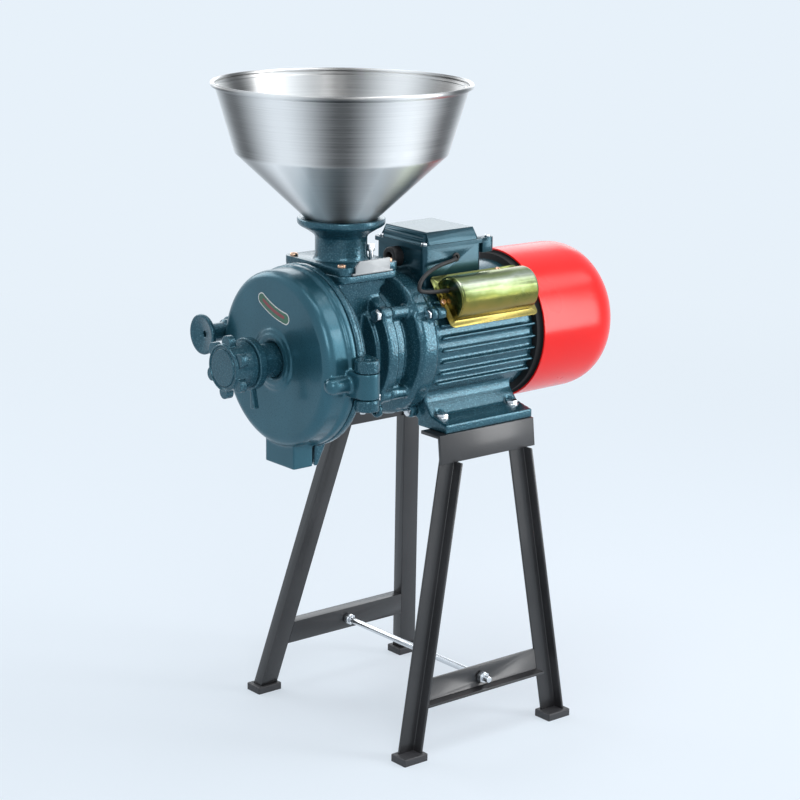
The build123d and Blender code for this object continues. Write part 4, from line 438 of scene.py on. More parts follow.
# ---------------- shader graphs
class Graph:
    """Adds nodes to one shader tree, each with its settings and inputs in one call."""

    def __init__(self, tree: Tree) -> None:
        """Keeps the tree that the nodes go into."""
        self.tree = tree

    def feed(self, node: Node, inputs: Inputs) -> Node:
        """Fills a node's inputs.

        Args:
            node: The node.
            inputs: A value to set or a socket to link, by the input's name or number.

        Returns:
            The same node.
        """
        for key, value in inputs.items():
            if isinstance(value, Socket):
                self.tree.links.new(value, node.inputs[key])
            else:
                node.inputs[key].default_value = value
        return node

    def add(self, kind: str, inputs: Inputs, **settings: object) -> Node:
        """Adds a shader node.

        Args:
            kind: The node's type, without its prefix.
            inputs: Its inputs, as feed takes them.
            settings: Its properties by name, set before the inputs.

        Returns:
            The node.
        """
        node = self.tree.nodes.new("ShaderNode" + kind)
        for name, value in settings.items():
            setattr(node, name, value)
        return self.feed(node, inputs)

    def effect(self, group: Tree, **inputs: object) -> Sockets:
        """Places a node group and returns its outputs."""
        return self.add("Group", dict(inputs), node_tree=group).outputs

    def given(self) -> Sockets:
        """Sockets that bring in a node group's inputs."""
        return self.tree.nodes.new("NodeGroupInput").outputs

    def close(self, values: Inputs) -> Tree:
        """Sends values to a node group's outputs and returns the group."""
        self.feed(self.tree.nodes.new("NodeGroupOutput"), values)
        return self.tree

    def mapped(self, **steps: Sequence[float]) -> Socket:
        """Object coordinates, moved or stretched where asked.

        Args:
            steps: The Mapping node's Location or Scale, none where not given.

        Returns:
            The coordinates' socket.
        """
        here = self.add("TexCoord", {}).outputs["Object"]
        if not steps:
            return here
        return self.add("Mapping", {"Vector": here, **steps}).outputs["Vector"]

    def math(self, operation: str, *values: object, clamp: bool = False) -> Socket:
        """Works out one value.

        Args:
            operation: The Math node's operation.
            values: Its values or sockets in order.
            clamp: Whether the result stays between 0 and 1.

        Returns:
            The result's socket.
        """
        inputs: Inputs = dict(enumerate(values))
        return self.add("Math", inputs, operation=operation, use_clamp=clamp).outputs[0]

    def span(
        self,
        value: Socket,
        start: Ring = (0.0, 1.0),
        end: Ring = (0.0, 1.0),
        curve: str = "LINEAR",
    ) -> Socket:
        """Maps a value from one range to another and keeps it within that range.

        Args:
            value: The value's socket.
            start: The range that it comes from.
            end: The range that it goes to.
            curve: The Map Range node's interpolation.

        Returns:
            The result's socket.
        """
        inputs = {"Value": value, "From Min": start[0], "From Max": start[1]}
        inputs |= {"To Min": end[0], "To Max": end[1]}
        return self.add("MapRange", inputs, interpolation_type=curve).outputs["Result"]

    def ramp(self, value: Socket, stops: Sequence[tuple[float, Colour]]) -> Socket:
        """Turns a value into a colour.

        Args:
            value: The value's socket.
            stops: Places from 0 to 1 with their colours.

        Returns:
            The colour's socket.
        """
        node = self.add("ValToRGB", {"Fac": value})
        marks = node.color_ramp.elements
        while len(marks) < len(stops):
            marks.new(0.5)
        for mark, (spot, _) in zip(marks, stops):
            mark.position = spot
        for mark, (_, colour) in zip(marks, stops):
            mark.color = (*colour, 1.0)
        return node.outputs["Color"]

    def blend(self, value: Socket, low: Colour, high: Colour) -> Socket:
        """Blends two colours by a value from 0 to 1."""
        return self.ramp(value, ((0.0, low), (1.0, high)))


class Recipe(Graph):
    """Graph of a new material round its Principled shader."""

    def __init__(self, name: str) -> None:
        """Makes the material.

        Args:
            name: The material's name.
        """
        self.material = bpy.data.materials.new(name)
        self.material.use_nodes = True
        super().__init__(self.material.node_tree)
        self.shader = self.tree.nodes["Principled BSDF"]

    def finish(
        self,
        colour: Socket,
        rough: Socket,
        height: Socket,
        depth: float,
        even: dict[str, float],
        strength: float,
    ) -> Material:
        """Feeds the Principled shader.

        Args:
            colour: Socket of the base colour.
            rough: Socket of the roughness.
            height: Socket of the skin's height.
            depth: Depth of the bump in millimetres.
            even: Values that are the same all over, by the input's name.
            strength: Strength of the bump.

        Returns:
            The material.
        """
        bump = self.add("Bump", {"Strength": strength, "Distance": mm(depth), "Height": height})
        inputs = {"Base Color": colour, "Roughness": rough, "Normal": bump.outputs["Normal"]}
        self.feed(self.shader, {**inputs, **even})
        return self.material


# ---------------- shared shader effects
def new_group(name: str, inputs: dict[str, float | None], outputs: Sequence[str]) -> Graph:
    """Makes a node group with its inputs and outputs.

    Args:
        name: The group's name.
        inputs: Default of each input by its name, None for a vector.
        outputs: Names of its values.

    Returns:
        The group's empty graph.
    """
    tree = bpy.data.node_groups.new(name, "ShaderNodeTree")
    for label, value in inputs.items():
        kind = "NodeSocketVector" if value is None else "NodeSocketFloat"
        socket = tree.interface.new_socket(label, in_out="INPUT", socket_type=kind)
        if value is not None:
            socket.default_value = value
    for label in outputs:
        tree.interface.new_socket(label, in_out="OUTPUT", socket_type="NodeSocketFloat")
    return Graph(tree)


@cache
def hammered() -> Tree:
    """Speckled dimples of hammertone paint, made once.

    Returns:
        The node group: a mask of pale flecks and a height.
    """
    graph = new_group("hammered_paint", {"Scale": 400.0}, ["Flecks", "Height"])
    here, scale = graph.mapped(), graph.given()["Scale"]
    cell = {"Vector": here, "Scale": scale, "Smoothness": 0.6}
    cells = graph.add("TexVoronoi", cell, feature="SMOOTH_F1").outputs["Distance"]
    finer = graph.math("MULTIPLY", scale, 1.7)
    noise = graph.add("TexNoise", {"Vector": here, "Scale": finer, "Detail": 3.0})
    grain = noise.outputs["Fac"]
    height = graph.math("MULTIPLY_ADD", grain, 0.6, cells)
    return graph.close({"Flecks": graph.span(grain, (0.52, 0.72)), "Height": height})


@cache
def clouds() -> Tree:
    """Slow, soft variation over a surface, made once.

    Returns:
        The node group: a value around one half.
    """
    graph = new_group("soft_clouds", {"Scale": 12.0}, ["Value"])
    drift = {"Vector": graph.mapped(), "Scale": graph.given()["Scale"]}
    noise = graph.add("TexNoise", {**drift, "Detail": 4.0, "Roughness": 0.55})
    return graph.close({"Value": graph.span(noise.outputs["Fac"], (0.3, 0.7))})


@cache
def brushed() -> Tree:
    """Fine lines across the direction in which the vector is stretched, made once.

    Returns:
        The node group: a value around one half.
    """
    graph = new_group("brushed_lines", {"Vector": None, "Scale": 1.0}, ["Value"])
    given = graph.given()
    line = {"Vector": given["Vector"], "Scale": given["Scale"]}
    noise = graph.add("TexNoise", {**line, "Detail": 5.0, "Roughness": 0.7})
    return graph.close({"Value": noise.outputs["Fac"]})


# ---------------- finishes
@dataclass(frozen=True)
class HammertonePaint:
    """Metallic blue-green paint with pale flecks."""

    name: str
    deep: Colour
    pale: Colour
    fleck: Colour
    fleck_share: float
    scale: float
    roughness: float
    depth: float
    metallic: float = 0.5
    coat: float = 0.25
    coat_roughness: float = 0.12
    gloss: float = 0.3
    cloud_scale: float = 14.0

    def make(self) -> Material:
        """Builds the material.

        Returns:
            The material.
        """
        recipe = Recipe(self.name)
        skin = recipe.effect(hammered(), Scale=self.scale)
        cloud = recipe.effect(clouds(), Scale=self.cloud_scale)["Value"]
        base = recipe.blend(cloud, self.deep, self.pale)
        share = recipe.span(skin["Flecks"], end=(0.0, self.fleck_share))
        layers = {"Factor": share, "A": base, "B": (*self.fleck, 1.0)}
        colour = recipe.add("Mix", layers, data_type="RGBA").outputs["Result"]
        rough = recipe.span(skin["Flecks"], end=(self.roughness, self.roughness * 0.8))
        even = {"Metallic": self.metallic, "Specular IOR Level": self.gloss}
        even |= {"Coat Weight": self.coat, "Coat Roughness": self.coat_roughness}
        return recipe.finish(colour, rough, skin["Height"], self.depth, even, strength=0.5)


@dataclass(frozen=True)
class PlainPaint:
    """Even paint with soft variation and a fine orange-peel skin."""

    name: str
    deep: Colour
    pale: Colour
    roughness: float
    coat: float
    coat_roughness: float = 0.08
    peel: float = 0.04
    gloss: float = 0.5
    cloud_scale: float = 9.0
    peel_scale: float = 260.0

    def make(self) -> Material:
        """Builds the material.

        Returns:
            The material.
        """
        recipe = Recipe(self.name)
        cloud = recipe.effect(clouds(), Scale=self.cloud_scale)["Value"]
        colour = recipe.blend(cloud, self.deep, self.pale)
        rough = recipe.span(cloud, end=(self.roughness * 0.85, self.roughness * 1.15))
        skin = recipe.effect(hammered(), Scale=self.peel_scale)
        even = {"Metallic": 0.0, "Specular IOR Level": self.gloss}
        even |= {"Coat Weight": self.coat, "Coat Roughness": self.coat_roughness}
        return recipe.finish(colour, rough, skin["Height"], self.peel, even, strength=0.25)


@dataclass(frozen=True)
class BrushedMetal:
    """Metal with an even grain, or with lines across the direction of the largest number."""

    name: str
    deep: Colour
    pale: Colour
    roughness: float
    lines: Point
    depth: float = 0.03
    cloud_scale: float = 8.0

    def make(self) -> Material:
        """Builds the material.

        Returns:
            The material.
        """
        recipe = Recipe(self.name)
        stretch = recipe.mapped(Scale=self.lines)
        grain = recipe.effect(brushed(), Scale=1.0, Vector=stretch)["Value"]
        cloud = recipe.effect(clouds(), Scale=self.cloud_scale)["Value"]
        colour = recipe.blend(cloud, self.deep, self.pale)
        rough = recipe.span(grain, end=(self.roughness * 0.6, self.roughness * 1.4))
        return recipe.finish(colour, rough, grain, self.depth, {"Metallic": 1.0}, strength=0.3)


@dataclass(frozen=True)
class SpunSteel:
    """Sheet steel brushed round an upright axis, with painted reflection bands round the axis and a
    painted highlight that lightens the cone below the fold.
    """

    name: str
    centre: Point
    deep: Colour
    pale: Colour
    roughness: float
    # Count and phase of the painted reflection bands round the axis.
    painted_band_count: int
    painted_band_phase: float
    depth: float
    fold: float
    # Share of painted highlight added below the fold, which lightens the cone.
    lift: float
    fold_half: float = 2.0
    rows: Point = (5.0, 5.0, 1100.0)
    streak: float = 0.16

    def painted_sheen(self, graph: Graph) -> Socket:
        """Painted reflection bands that swell and fade round the axis, raised by a painted highlight
        below the fold.

        Args:
            graph: The material's graph.

        Returns:
            The value's socket.
        """
        here = graph.mapped(Location=metres(-v for v in self.centre))
        parts = graph.add("SeparateXYZ", {"Vector": here}).outputs
        angle = graph.math("ARCTAN2", parts["Y"], parts["X"])
        # Painted reflection: the phase sets where the dark and bright bands fall round the hopper.
        wave = graph.math("COSINE", graph.math("MULTIPLY_ADD", angle, self.painted_band_count, self.painted_band_phase))
        fold = (mm(self.fold - self.fold_half), mm(self.fold + self.fold_half))
        # Painted highlight: the cone below the fold is lightened by this share.
        below = graph.span(parts["Z"], fold, (self.lift, 0.0))
        return graph.math("ADD", graph.span(wave, (1.0, -1.0)), below)

    def make(self) -> Material:
        """Builds the material.

        Returns:
            The material.
        """
        recipe = Recipe(self.name)
        rows = recipe.mapped(Scale=self.rows)
        grain = recipe.effect(brushed(), Scale=1.0, Vector=rows)["Value"]
        streak = recipe.span(grain, end=(-self.streak, self.streak))
        # Painted reflection bands plus the real brushed streaks.
        painted_sheen_and_grain = recipe.math("ADD", self.painted_sheen(recipe), streak, clamp=True)
        colour = recipe.blend(painted_sheen_and_grain, self.deep, self.pale)
        rough = recipe.span(grain, end=(self.roughness * 0.7, self.roughness * 1.3))
        even = {"Metallic": 0.78, "Anisotropic": 0.5, "Anisotropic Rotation": 0.25}
        return recipe.finish(colour, rough, grain, self.depth, even, strength=0.25)


@dataclass(frozen=True)
class YellowZinc:
    """Iridescent yellow zinc plate whose colour drifts with the angle round a long axis; its stops
    hold both the plating's colours and painted highlight and shade bands.
    """

    name: str
    centre: Point
    stops: tuple[tuple[float, Colour], ...]
    drift: float = 16.0
    cloud_scale: float = 16.0
    skin_scale: float = 150.0
    roughness: Ring = (0.2, 0.3)
    depth: float = 0.05

    def make(self) -> Material:
        """Builds the material.

        Returns:
            The material.
        """
        recipe = Recipe(self.name)
        here = recipe.mapped(Location=metres(-v for v in self.centre))
        parts = recipe.add("SeparateXYZ", {"Vector": here}).outputs
        near = recipe.math("MULTIPLY", parts["Y"], -1.0)
        angle = recipe.math("ARCTAN2", parts["Z"], near)
        cloud = recipe.effect(clouds(), Scale=self.cloud_scale)["Value"]
        drift = math.radians(self.drift)
        turn = recipe.math("ADD", angle, recipe.span(cloud, end=(-drift, drift)))
        low, high = self.stops[0][0], self.stops[-1][0]
        share = recipe.span(turn, (math.radians(low), math.radians(high)))
        stops = [((degree - low) / (high - low), colour) for degree, colour in self.stops]
        # Plating colour together with painted highlight and shade bands, by angle round the axis.
        hue_and_painted_bands = recipe.ramp(share, stops)
        rough = recipe.span(cloud, end=self.roughness)
        skin = recipe.effect(hammered(), Scale=self.skin_scale)
        even = {"Metallic": 1.0}
        return recipe.finish(hue_and_painted_bands, rough, skin["Height"], self.depth, even, strength=0.2)


@dataclass(frozen=True)
class DullSkin:
    """Rubber, plastic, raw iron or wire: low gloss with a fine grain."""

    name: str
    deep: Colour
    pale: Colour
    roughness: float
    metallic: float = 0.0
    scale: float = 700.0
    depth: float = 0.06

    def make(self) -> Material:
        """Builds the material.

        Returns:
            The material.
        """
        recipe = Recipe(self.name)
        skin = recipe.effect(hammered(), Scale=self.scale)
        colour = recipe.blend(skin["Flecks"], self.deep, self.pale)
        rough = recipe.span(skin["Flecks"], end=(self.roughness, self.roughness * 1.2))
        even = {"Metallic": self.metallic}
        return recipe.finish(colour, rough, skin["Height"], self.depth, even, strength=0.4)


class Palette:
    """Every finish of the mill, made once."""

    def __init__(self) -> None:
        """Builds the materials."""
        fleck = (0.2, 0.42, 0.5)
        self.cast = HammertonePaint(
            "hammertone_cast", (0.0125, 0.066, 0.094), (0.023, 0.095, 0.132), fleck,
            fleck_share=0.36, scale=400.0, roughness=0.24, depth=0.42, coat=0.3,
        ).make()
        self.smooth = HammertonePaint(
            "hammertone_smooth", (0.022, 0.096, 0.132), (0.032, 0.122, 0.165), fleck,
            fleck_share=0.08, scale=800.0, roughness=0.3, depth=0.05,
        ).make()
        self.box = HammertonePaint(
            "hammertone_box", (0.009, 0.048, 0.068), (0.016, 0.067, 0.092), fleck,
            fleck_share=0.05, scale=800.0, roughness=0.26, depth=0.05, coat=0.15,
        ).make()
        self.red = PlainPaint(
            "glossy_red", (0.86, 0.002, 0.0005), (0.94, 0.004, 0.001), 0.3, 0.62, 0.2, gloss=0.08
        ).make()
        self.ring_black = PlainPaint(
            "ring_black", (0.006, 0.007, 0.008), (0.012, 0.013, 0.014), 0.6, 0.0, gloss=0.25
        ).make()
        self.stand = PlainPaint(
            "stand_grey", (0.012, 0.012, 0.013), (0.028, 0.028, 0.03), 0.34, 0.3, 0.16, peel=0.12
        ).make()
        self.badge = PlainPaint(
            "green_badge", (0.004, 0.1, 0.045), (0.008, 0.14, 0.065), 0.35, 0.5
        ).make()
        self.badge_white = PlainPaint(
            "badge_border", (0.75, 0.77, 0.75), (0.82, 0.84, 0.82), 0.4, 0.4
        ).make()
        self.badge_red = PlainPaint(
            "badge_bar", (0.22, 0.02, 0.03), (0.3, 0.03, 0.04), 0.4, 0.4
        ).make()
        # Hopper steel: dark and pale painted reflection bands, six round the axis with their phase,
        # and a painted highlight share that lightens the cone below the fold.
        self.steel = SpunSteel(
            "hopper_steel", (AT.hopper_x, 0.0, 0.0), (0.1, 0.1, 0.099), (0.96, 0.96, 0.95),
            roughness=0.34, painted_band_count=6, painted_band_phase=math.radians(6 * 128.1), depth=0.02,
            fold=697.0, lift=0.16,
        ).make()
        self.ground = BrushedMetal(
            "ground_steel", (0.4, 0.41, 0.42), (0.5, 0.51, 0.52), 0.28, (900.0, 20.0, 20.0)
        ).make()
        self.zinc = BrushedMetal(
            "bright_zinc", (0.62, 0.64, 0.67), (0.74, 0.76, 0.78), 0.25, (200.0, 200.0, 200.0)
        ).make()
        self.gate = BrushedMetal(
            "gate_plate", (0.27, 0.28, 0.285), (0.36, 0.37, 0.375), 0.5, (30.0, 900.0, 30.0)
        ).make()
        self.brass = BrushedMetal(
            "copper_brass", (0.62, 0.36, 0.24), (0.75, 0.5, 0.34), 0.28, (200.0, 200.0, 200.0)
        ).make()
        self.can = BrushedMetal(
            "capacitor_can", (0.6, 0.6, 0.61), (0.7, 0.7, 0.71), 0.35, (20.0, 900.0, 900.0)
        ).make()
        # Yellow zinc stops by degrees round the case's axis: gold and green plating colours, with a
        # painted highlight band near 27 degrees and painted shade bands near -8 and 64 degrees.
        self.yellow = YellowZinc(
            "yellow_zinc",
            (0.0, -71.2, 535.1),
            (
                (-70.0, (0.3, 0.25, 0.08)),
                (-40.0, (0.3, 0.23, 0.06)),
                (-22.0, (0.2, 0.19, 0.05)),
                (-8.0, (0.09, 0.11, 0.03)),
                (10.0, (0.22, 0.27, 0.14)),
                (27.0, (0.38, 0.41, 0.33)),
                (45.0, (0.19, 0.23, 0.09)),
                (64.0, (0.08, 0.1, 0.03)),
                (85.0, (0.32, 0.37, 0.15)),
                (120.0, (0.2, 0.22, 0.08)),
            ),
        ).make()
        self.rubber = DullSkin(
            "black_rubber", (0.012, 0.012, 0.013), (0.02, 0.02, 0.021), 0.55
        ).make()
        self.pad = DullSkin("shoe_plastic", (0.035, 0.035, 0.038), (0.05, 0.05, 0.054), 0.5).make()
        self.iron = DullSkin(
            "ground_iron", (0.07, 0.07, 0.074), (0.12, 0.12, 0.125), 0.45, 0.8
        ).make()
        self.copper = DullSkin("copper_wire", (0.3, 0.1, 0.04), (0.42, 0.16, 0.07), 0.4, 0.6).make()
        self.sheets = DullSkin(
            "steel_sheets", (0.1, 0.1, 0.105), (0.16, 0.16, 0.17), 0.5, 0.9
        ).make()
        self.board = DullSkin("brown_board", (0.06, 0.022, 0.01), (0.09, 0.035, 0.018), 0.5).make()


# ---------------- finishing and placing
def finish_with(piece: Thing, material: Material) -> None:
    """Gives a piece one material all over.

    Args:
        piece: The object.
        material: Its material.
    """
    piece.data.materials.clear()
    piece.data.materials.append(material)


def place(
    piece: Thing,
    material: Material,
    body: str,
    nodes: Sequence[str] = (),
) -> Thing:
    """Finishes a piece and says what it moves with and stands for.

    Args:
        piece: The object.
        material: Its material.
        body: The body that it rides on.
        nodes: The nodes that it replaces.

    Returns:
        The same object.
    """
    finish_with(piece, material)
    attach(piece, body)
    if nodes:
        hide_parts(*nodes)
    log.info("piece %s on %s", piece.name, body)
    return piece


def recast_rows(body: str, *rows: Row) -> None:
    """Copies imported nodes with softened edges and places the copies.

    Args:
        body: The body that they ride on.
        rows: Each as (node, piece name, rounding, faces across it, material, slot).
    """
    for node, name, width, segments, material, slot in rows:
        place(recast(node, name, width, segments), material, body, [node])


def sand_cast(
    body: str,
    node: str,
    name: str,
    grain: float,
    rub: int,
    material: Material,
    keep: float = 1.0,
) -> None:
    """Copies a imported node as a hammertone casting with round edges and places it.

    Args:
        body: The body that it rides on.
        node: The node that it stands for.
        name: The piece's name.
        grain: Size of the skin's faces.
        rub: How often the skin is smoothed.
        material: Its material.
        keep: Share of the faces that is kept.
    """
    casting = rub_down(recast(node, name), grain, rub, keep)
    place(casting, material, body, [node])


@dataclass
class SubAssembly:
    """A part of the mill that takes its finishes from the palette."""

    palette: Palette


# ---------------- hopper
@dataclass
class HopperBowl(SubAssembly):
    """Rolled-edge steel hopper."""

    rim: float = 150.0
    rim_z: float = 777.0
    bead: float = 2.6
    crease: float = 122.6
    crease_z: float = 697.0
    spigot: float = 24.7
    cone_z: float = 605.5
    low_z: float = 585.0
    sheet: float = 1.0

    def build(self) -> None:
        """Models the hopper's shell with its rolled edge."""
        rim_z, crease_z, cone_z = self.rim_z, self.crease_z, self.cone_z
        crease, spigot = self.crease, self.spigot
        inner_rim = self.rim - 2 * self.bead
        cone = (crease - spigot) / (crease_z - cone_z)
        wall = self.sheet * math.hypot(1, cone)
        bore = spigot - self.sheet
        rings: list[Ring] = [(self.low_z, spigot), (cone_z, spigot)]
        rings += [(cone_z + 1.5, spigot + cone * 1.5 + 0.15)]
        rings += [(crease_z - 2.5, crease - 2.5 * cone), (crease_z - 0.6, crease - 0.45)]
        rings += [(crease_z + 1.2, crease + 0.35), (crease_z + 4, crease + 1.1)]
        rings += [(rim_z - 8, inner_rim - 0.9), (rim_z - 2 * self.bead - 0.6, inner_rim + 0.3)]
        rings += arc((rim_z - self.bead, self.rim - self.bead), self.bead, 230, 500, 16)
        rings += [(rim_z - 8, inner_rim - 2.0), (crease_z + 4, crease)]
        rings += [(crease_z - 0.2, crease - 1.5), (crease_z - 4, crease - wall - 4 * cone)]
        rings += [(cone_z + 1.5, bore + 1.1), (cone_z, bore), (self.low_z, bore)]
        centre = (AT.hopper_x, 0.0, 0.0)
        shell = smooth(turned("hopper_shell", rings, Way.UPRIGHT, centre, 160), 38)
        place(shell, self.palette.steel, "hopper", ["hopper"])


# ---------------- feed throat and gate
@dataclass
class FeedThroat(SubAssembly):
    """Flared throat on its plate, with the slide gate and its lock screw."""

    half_x: float = 42.0
    half_y: float = 56.0
    corner: float = 9.0
    plate: float = 9.0
    top: float = 622.0
    neck: float = 30.3
    rim: float = 51.0
    socket: float = 25.0
    socket_z: float = 585.0
    bore: float = 21.0
    slot_half: float = 29.2
    slot_end: float = 41.0
    slot_high: float = 2.6

    def rounded(self) -> list[Point]:
        """Outline of the plate with its round corners.

        Returns:
            The corners in order.
        """
        points: list[Point] = []
        for front, side, start in ((1, 1, 0), (-1, 1, 90), (-1, -1, 180), (1, -1, 270)):
            middle_x = AT.hopper_x + front * (self.half_x - self.corner)
            middle_y = side * (self.half_y - self.corner)
            corner = arc((middle_x, middle_y), self.corner, start, start + 90, 6)
            points += [(x, y, AT.seat) for x, y in corner]
        return points

    def build(self) -> None:
        """Models the throat and dresses the gate."""
        seat, top, neck, rim = AT.seat, self.top, self.neck, self.rim
        socket, socket_z = self.socket, self.socket_z
        rings: list[Ring] = [(seat + 2, self.bore), (seat + 2, neck + 3), (seat + 9, neck + 2.4)]
        rings += [(seat + 11, neck + 0.8), (seat + 14, neck), (top - 22.5, neck)]
        rings += [(top - 20, neck + 1.2), (top - 17.5, neck + 4), (top - 14.5, neck + 8.5)]
        rings += [(top - 11.5, neck + 13.5), (top - 9, rim - 2.6), (top - 7, rim - 0.6)]
        rings += [(top - 5, rim), (top - 1.4, rim), (top - 0.3, rim - 0.6), (top, rim - 1.6)]
        rings += [(top, rim - 8.1), (top - 15.5, socket + 0.6), (top - 17, socket)]
        rings += [(socket_z, socket), (socket_z, self.bore)]
        centre = (AT.hopper_x, 0.0, 0.0)
        cup = turned("throat_casting", rings, Way.UPRIGHT, centre, 112)
        plate = slab("plate", self.rounded(), (0, 0, self.plate))
        below, above = seat - 25, socket_z - 0.2
        bore = rod("bore", (AT.hopper_x, 0, below), (AT.hopper_x, 0, above), self.bore, 112)
        left, right = AT.hopper_x - self.slot_half, AT.hopper_x + self.slot_half
        ends = ((left, -80), (right, -80), (right, self.slot_end), (left, self.slot_end))
        slot = slab("slot", [(x, y, seat - 5) for x, y in ends], (0, 0, self.slot_high + 5))
        combine(cup, Change.WELD, plate)
        combine(cup, Change.CARVE, bore, slot)
        paint = self.palette
        place(soften(cup, 0.9, 2), paint.cast, "base", ["feed_throat"])
        recast_rows("gate", ("slide_gate", "gate_sheet", 0.5, 2, paint.gate, "bright_zinc"))
        recast_rows(
            "gate_lock", ("gate_lock_screw", "gate_lock", 0.5, 2, paint.zinc, "bright_zinc")
        )
        recast_rows("base", ("throat_screws", "throat_screw_set", 0.0, 2, paint.brass, "brass"))


# ---------------- grinding head
@dataclass
class GrindingHead(SubAssembly):
    """Mill housing, front cover, hinge, and the bolts that hold them."""

    def build(self) -> None:
        """Models the castings and dresses the small pieces."""
        paint = self.palette
        sand_cast("base", "mill_housing", "mill_casting", 1.7, 4, paint.cast)
        sand_cast("cover", "front_cover", "cover_casting", 1.5, 6, paint.smooth)
        recast_rows("cover", ("adjusting_sleeve", "screw_sleeve", 0.5, 2, paint.cast, "hammertone"))
        recast_rows(
            "base",
            ("hinge_pin", "hinge_rod", 0.3, 2, paint.cast, "steel"),
            ("housing_bolts", "housing_bolt_set", 0.5, 2, paint.zinc, "bright_zinc"),
        )


@dataclass
class HandScrews(SubAssembly):
    """Adjusting knob, lock ring and the clamp's flared knob."""

    rim_outer: float = 24.6
    rim_inner: float = 21.4
    rim_depth: float = 2.0
    cutter_over: float = 2.0

    def knob(self) -> Thing:
        """Casts the adjusting knob with a groove inside its face's rim.

        Returns:
            The knob.
        """
        knob = recast("adjusting_knob", "grip_knob")
        front = min((knob.matrix_world @ corner.co).x for corner in knob.data.vertices) * 1000.0
        start, end = front - self.cutter_over, front + self.rim_depth
        rings = [(start, self.rim_inner), (start, self.rim_outer)]
        rings += [(end, self.rim_outer), (end, self.rim_inner)]
        combine(knob, Change.CARVE, turned("rim_groove", rings, steps=96))
        return rub_down(knob, 0.6, 2)

    def build(self) -> None:
        """Models the hand pieces and dresses the pins that they turn."""
        paint = self.palette
        place(self.knob(), paint.cast, "adjusting_knob", ["adjusting_knob"])
        sand_cast("lock_ring", "lock_ring", "lock_ring_casting", 0.7, 3, paint.cast)
        sand_cast("clamp_knob", "clamp_knob", "flared_knob", 0.7, 4, paint.cast)
        recast_rows(
            "clamp_screw", ("clamp_screw", "clamp_rod", 0.4, 2, paint.ground, "bright_zinc")
        )
        recast_rows("thrust_pin", ("thrust_pin", "thrust_rod", 0.4, 2, paint.ground, "steel"))


@dataclass
class CoverBadge(SubAssembly):
    """Plain curved badge: white border, green field and a dark red bar."""

    length: float = 62.0
    width: float = 14.0
    bend: float = 110.0
    tilt: float = 20.0
    lift: float = 57.0
    border: float = 1.3
    bar_half: float = 1.9
    bar_short: float = 9.0
    bar_shift: float = -0.6
    half_steps: int = 10
    end_steps: int = 12

    def spot(self, turn: float, out: float, high: float) -> Point:
        """Place of a point of the badge.

        Args:
            turn: Its angle along the bend from the badge's middle.
            out: How far it lies outside the bend's middle line.
            high: Its height above the cover.

        Returns:
            The point in millimetres.
        """
        tilt = math.radians(self.tilt)
        across = (self.bend + out) * math.sin(turn)
        over = self.bend - (self.bend + out) * math.cos(turn)
        y = -across * math.cos(tilt) - over * math.sin(tilt)
        z = -across * math.sin(tilt) + over * math.cos(tilt)
        return AT.cover_face - high, y, AT.axis_z + self.lift + z

    def band(
        self, name: str, half: float, reach: float, shift: float, low: float, high: float
    ) -> Thing:
        """One curved band of the badge, with round ends.

        Args:
            name: The piece's name.
            half: Half of its width.
            reach: Half of its length.
            shift: How far it lies outside the bend's middle line.
            low: Height of its back above the cover.
            high: Height of its front above the cover.

        Returns:
            The band.
        """
        sweep = (reach - half) / self.bend
        points: list[Point] = []
        for side in (1, -1):
            for step in range(2 * self.half_steps + 1):
                turn = side * sweep * (step / self.half_steps - 1)
                points.append(self.spot(turn, shift + side * half, high))
            for step in range(1, self.end_steps):
                lean = math.pi * step / self.end_steps
                turn = side * (sweep + half * math.sin(lean) / self.bend)
                points.append(self.spot(turn, shift + side * half * math.cos(lean), high))
        return slab(name, points, (high - low, 0, 0))

    def build(self) -> None:
        """Models the three bands."""
        paint, half, end, rim = self.palette, self.width / 2, self.length / 2, self.border
        border = self.band("badge_border", half, end, 0.0, 0.0, 0.25)
        place(border, paint.badge_white, "cover", ["cover_badge"])
        field_band = self.band("badge_field", half - rim, end - rim, 0.0, 0.05, 0.33)
        place(field_band, paint.badge, "cover")
        reach = end - self.bar_short
        bar = self.band("badge_bar", self.bar_half, reach, self.bar_shift, 0.1, 0.4)
        place(bar, paint.badge_red, "cover")


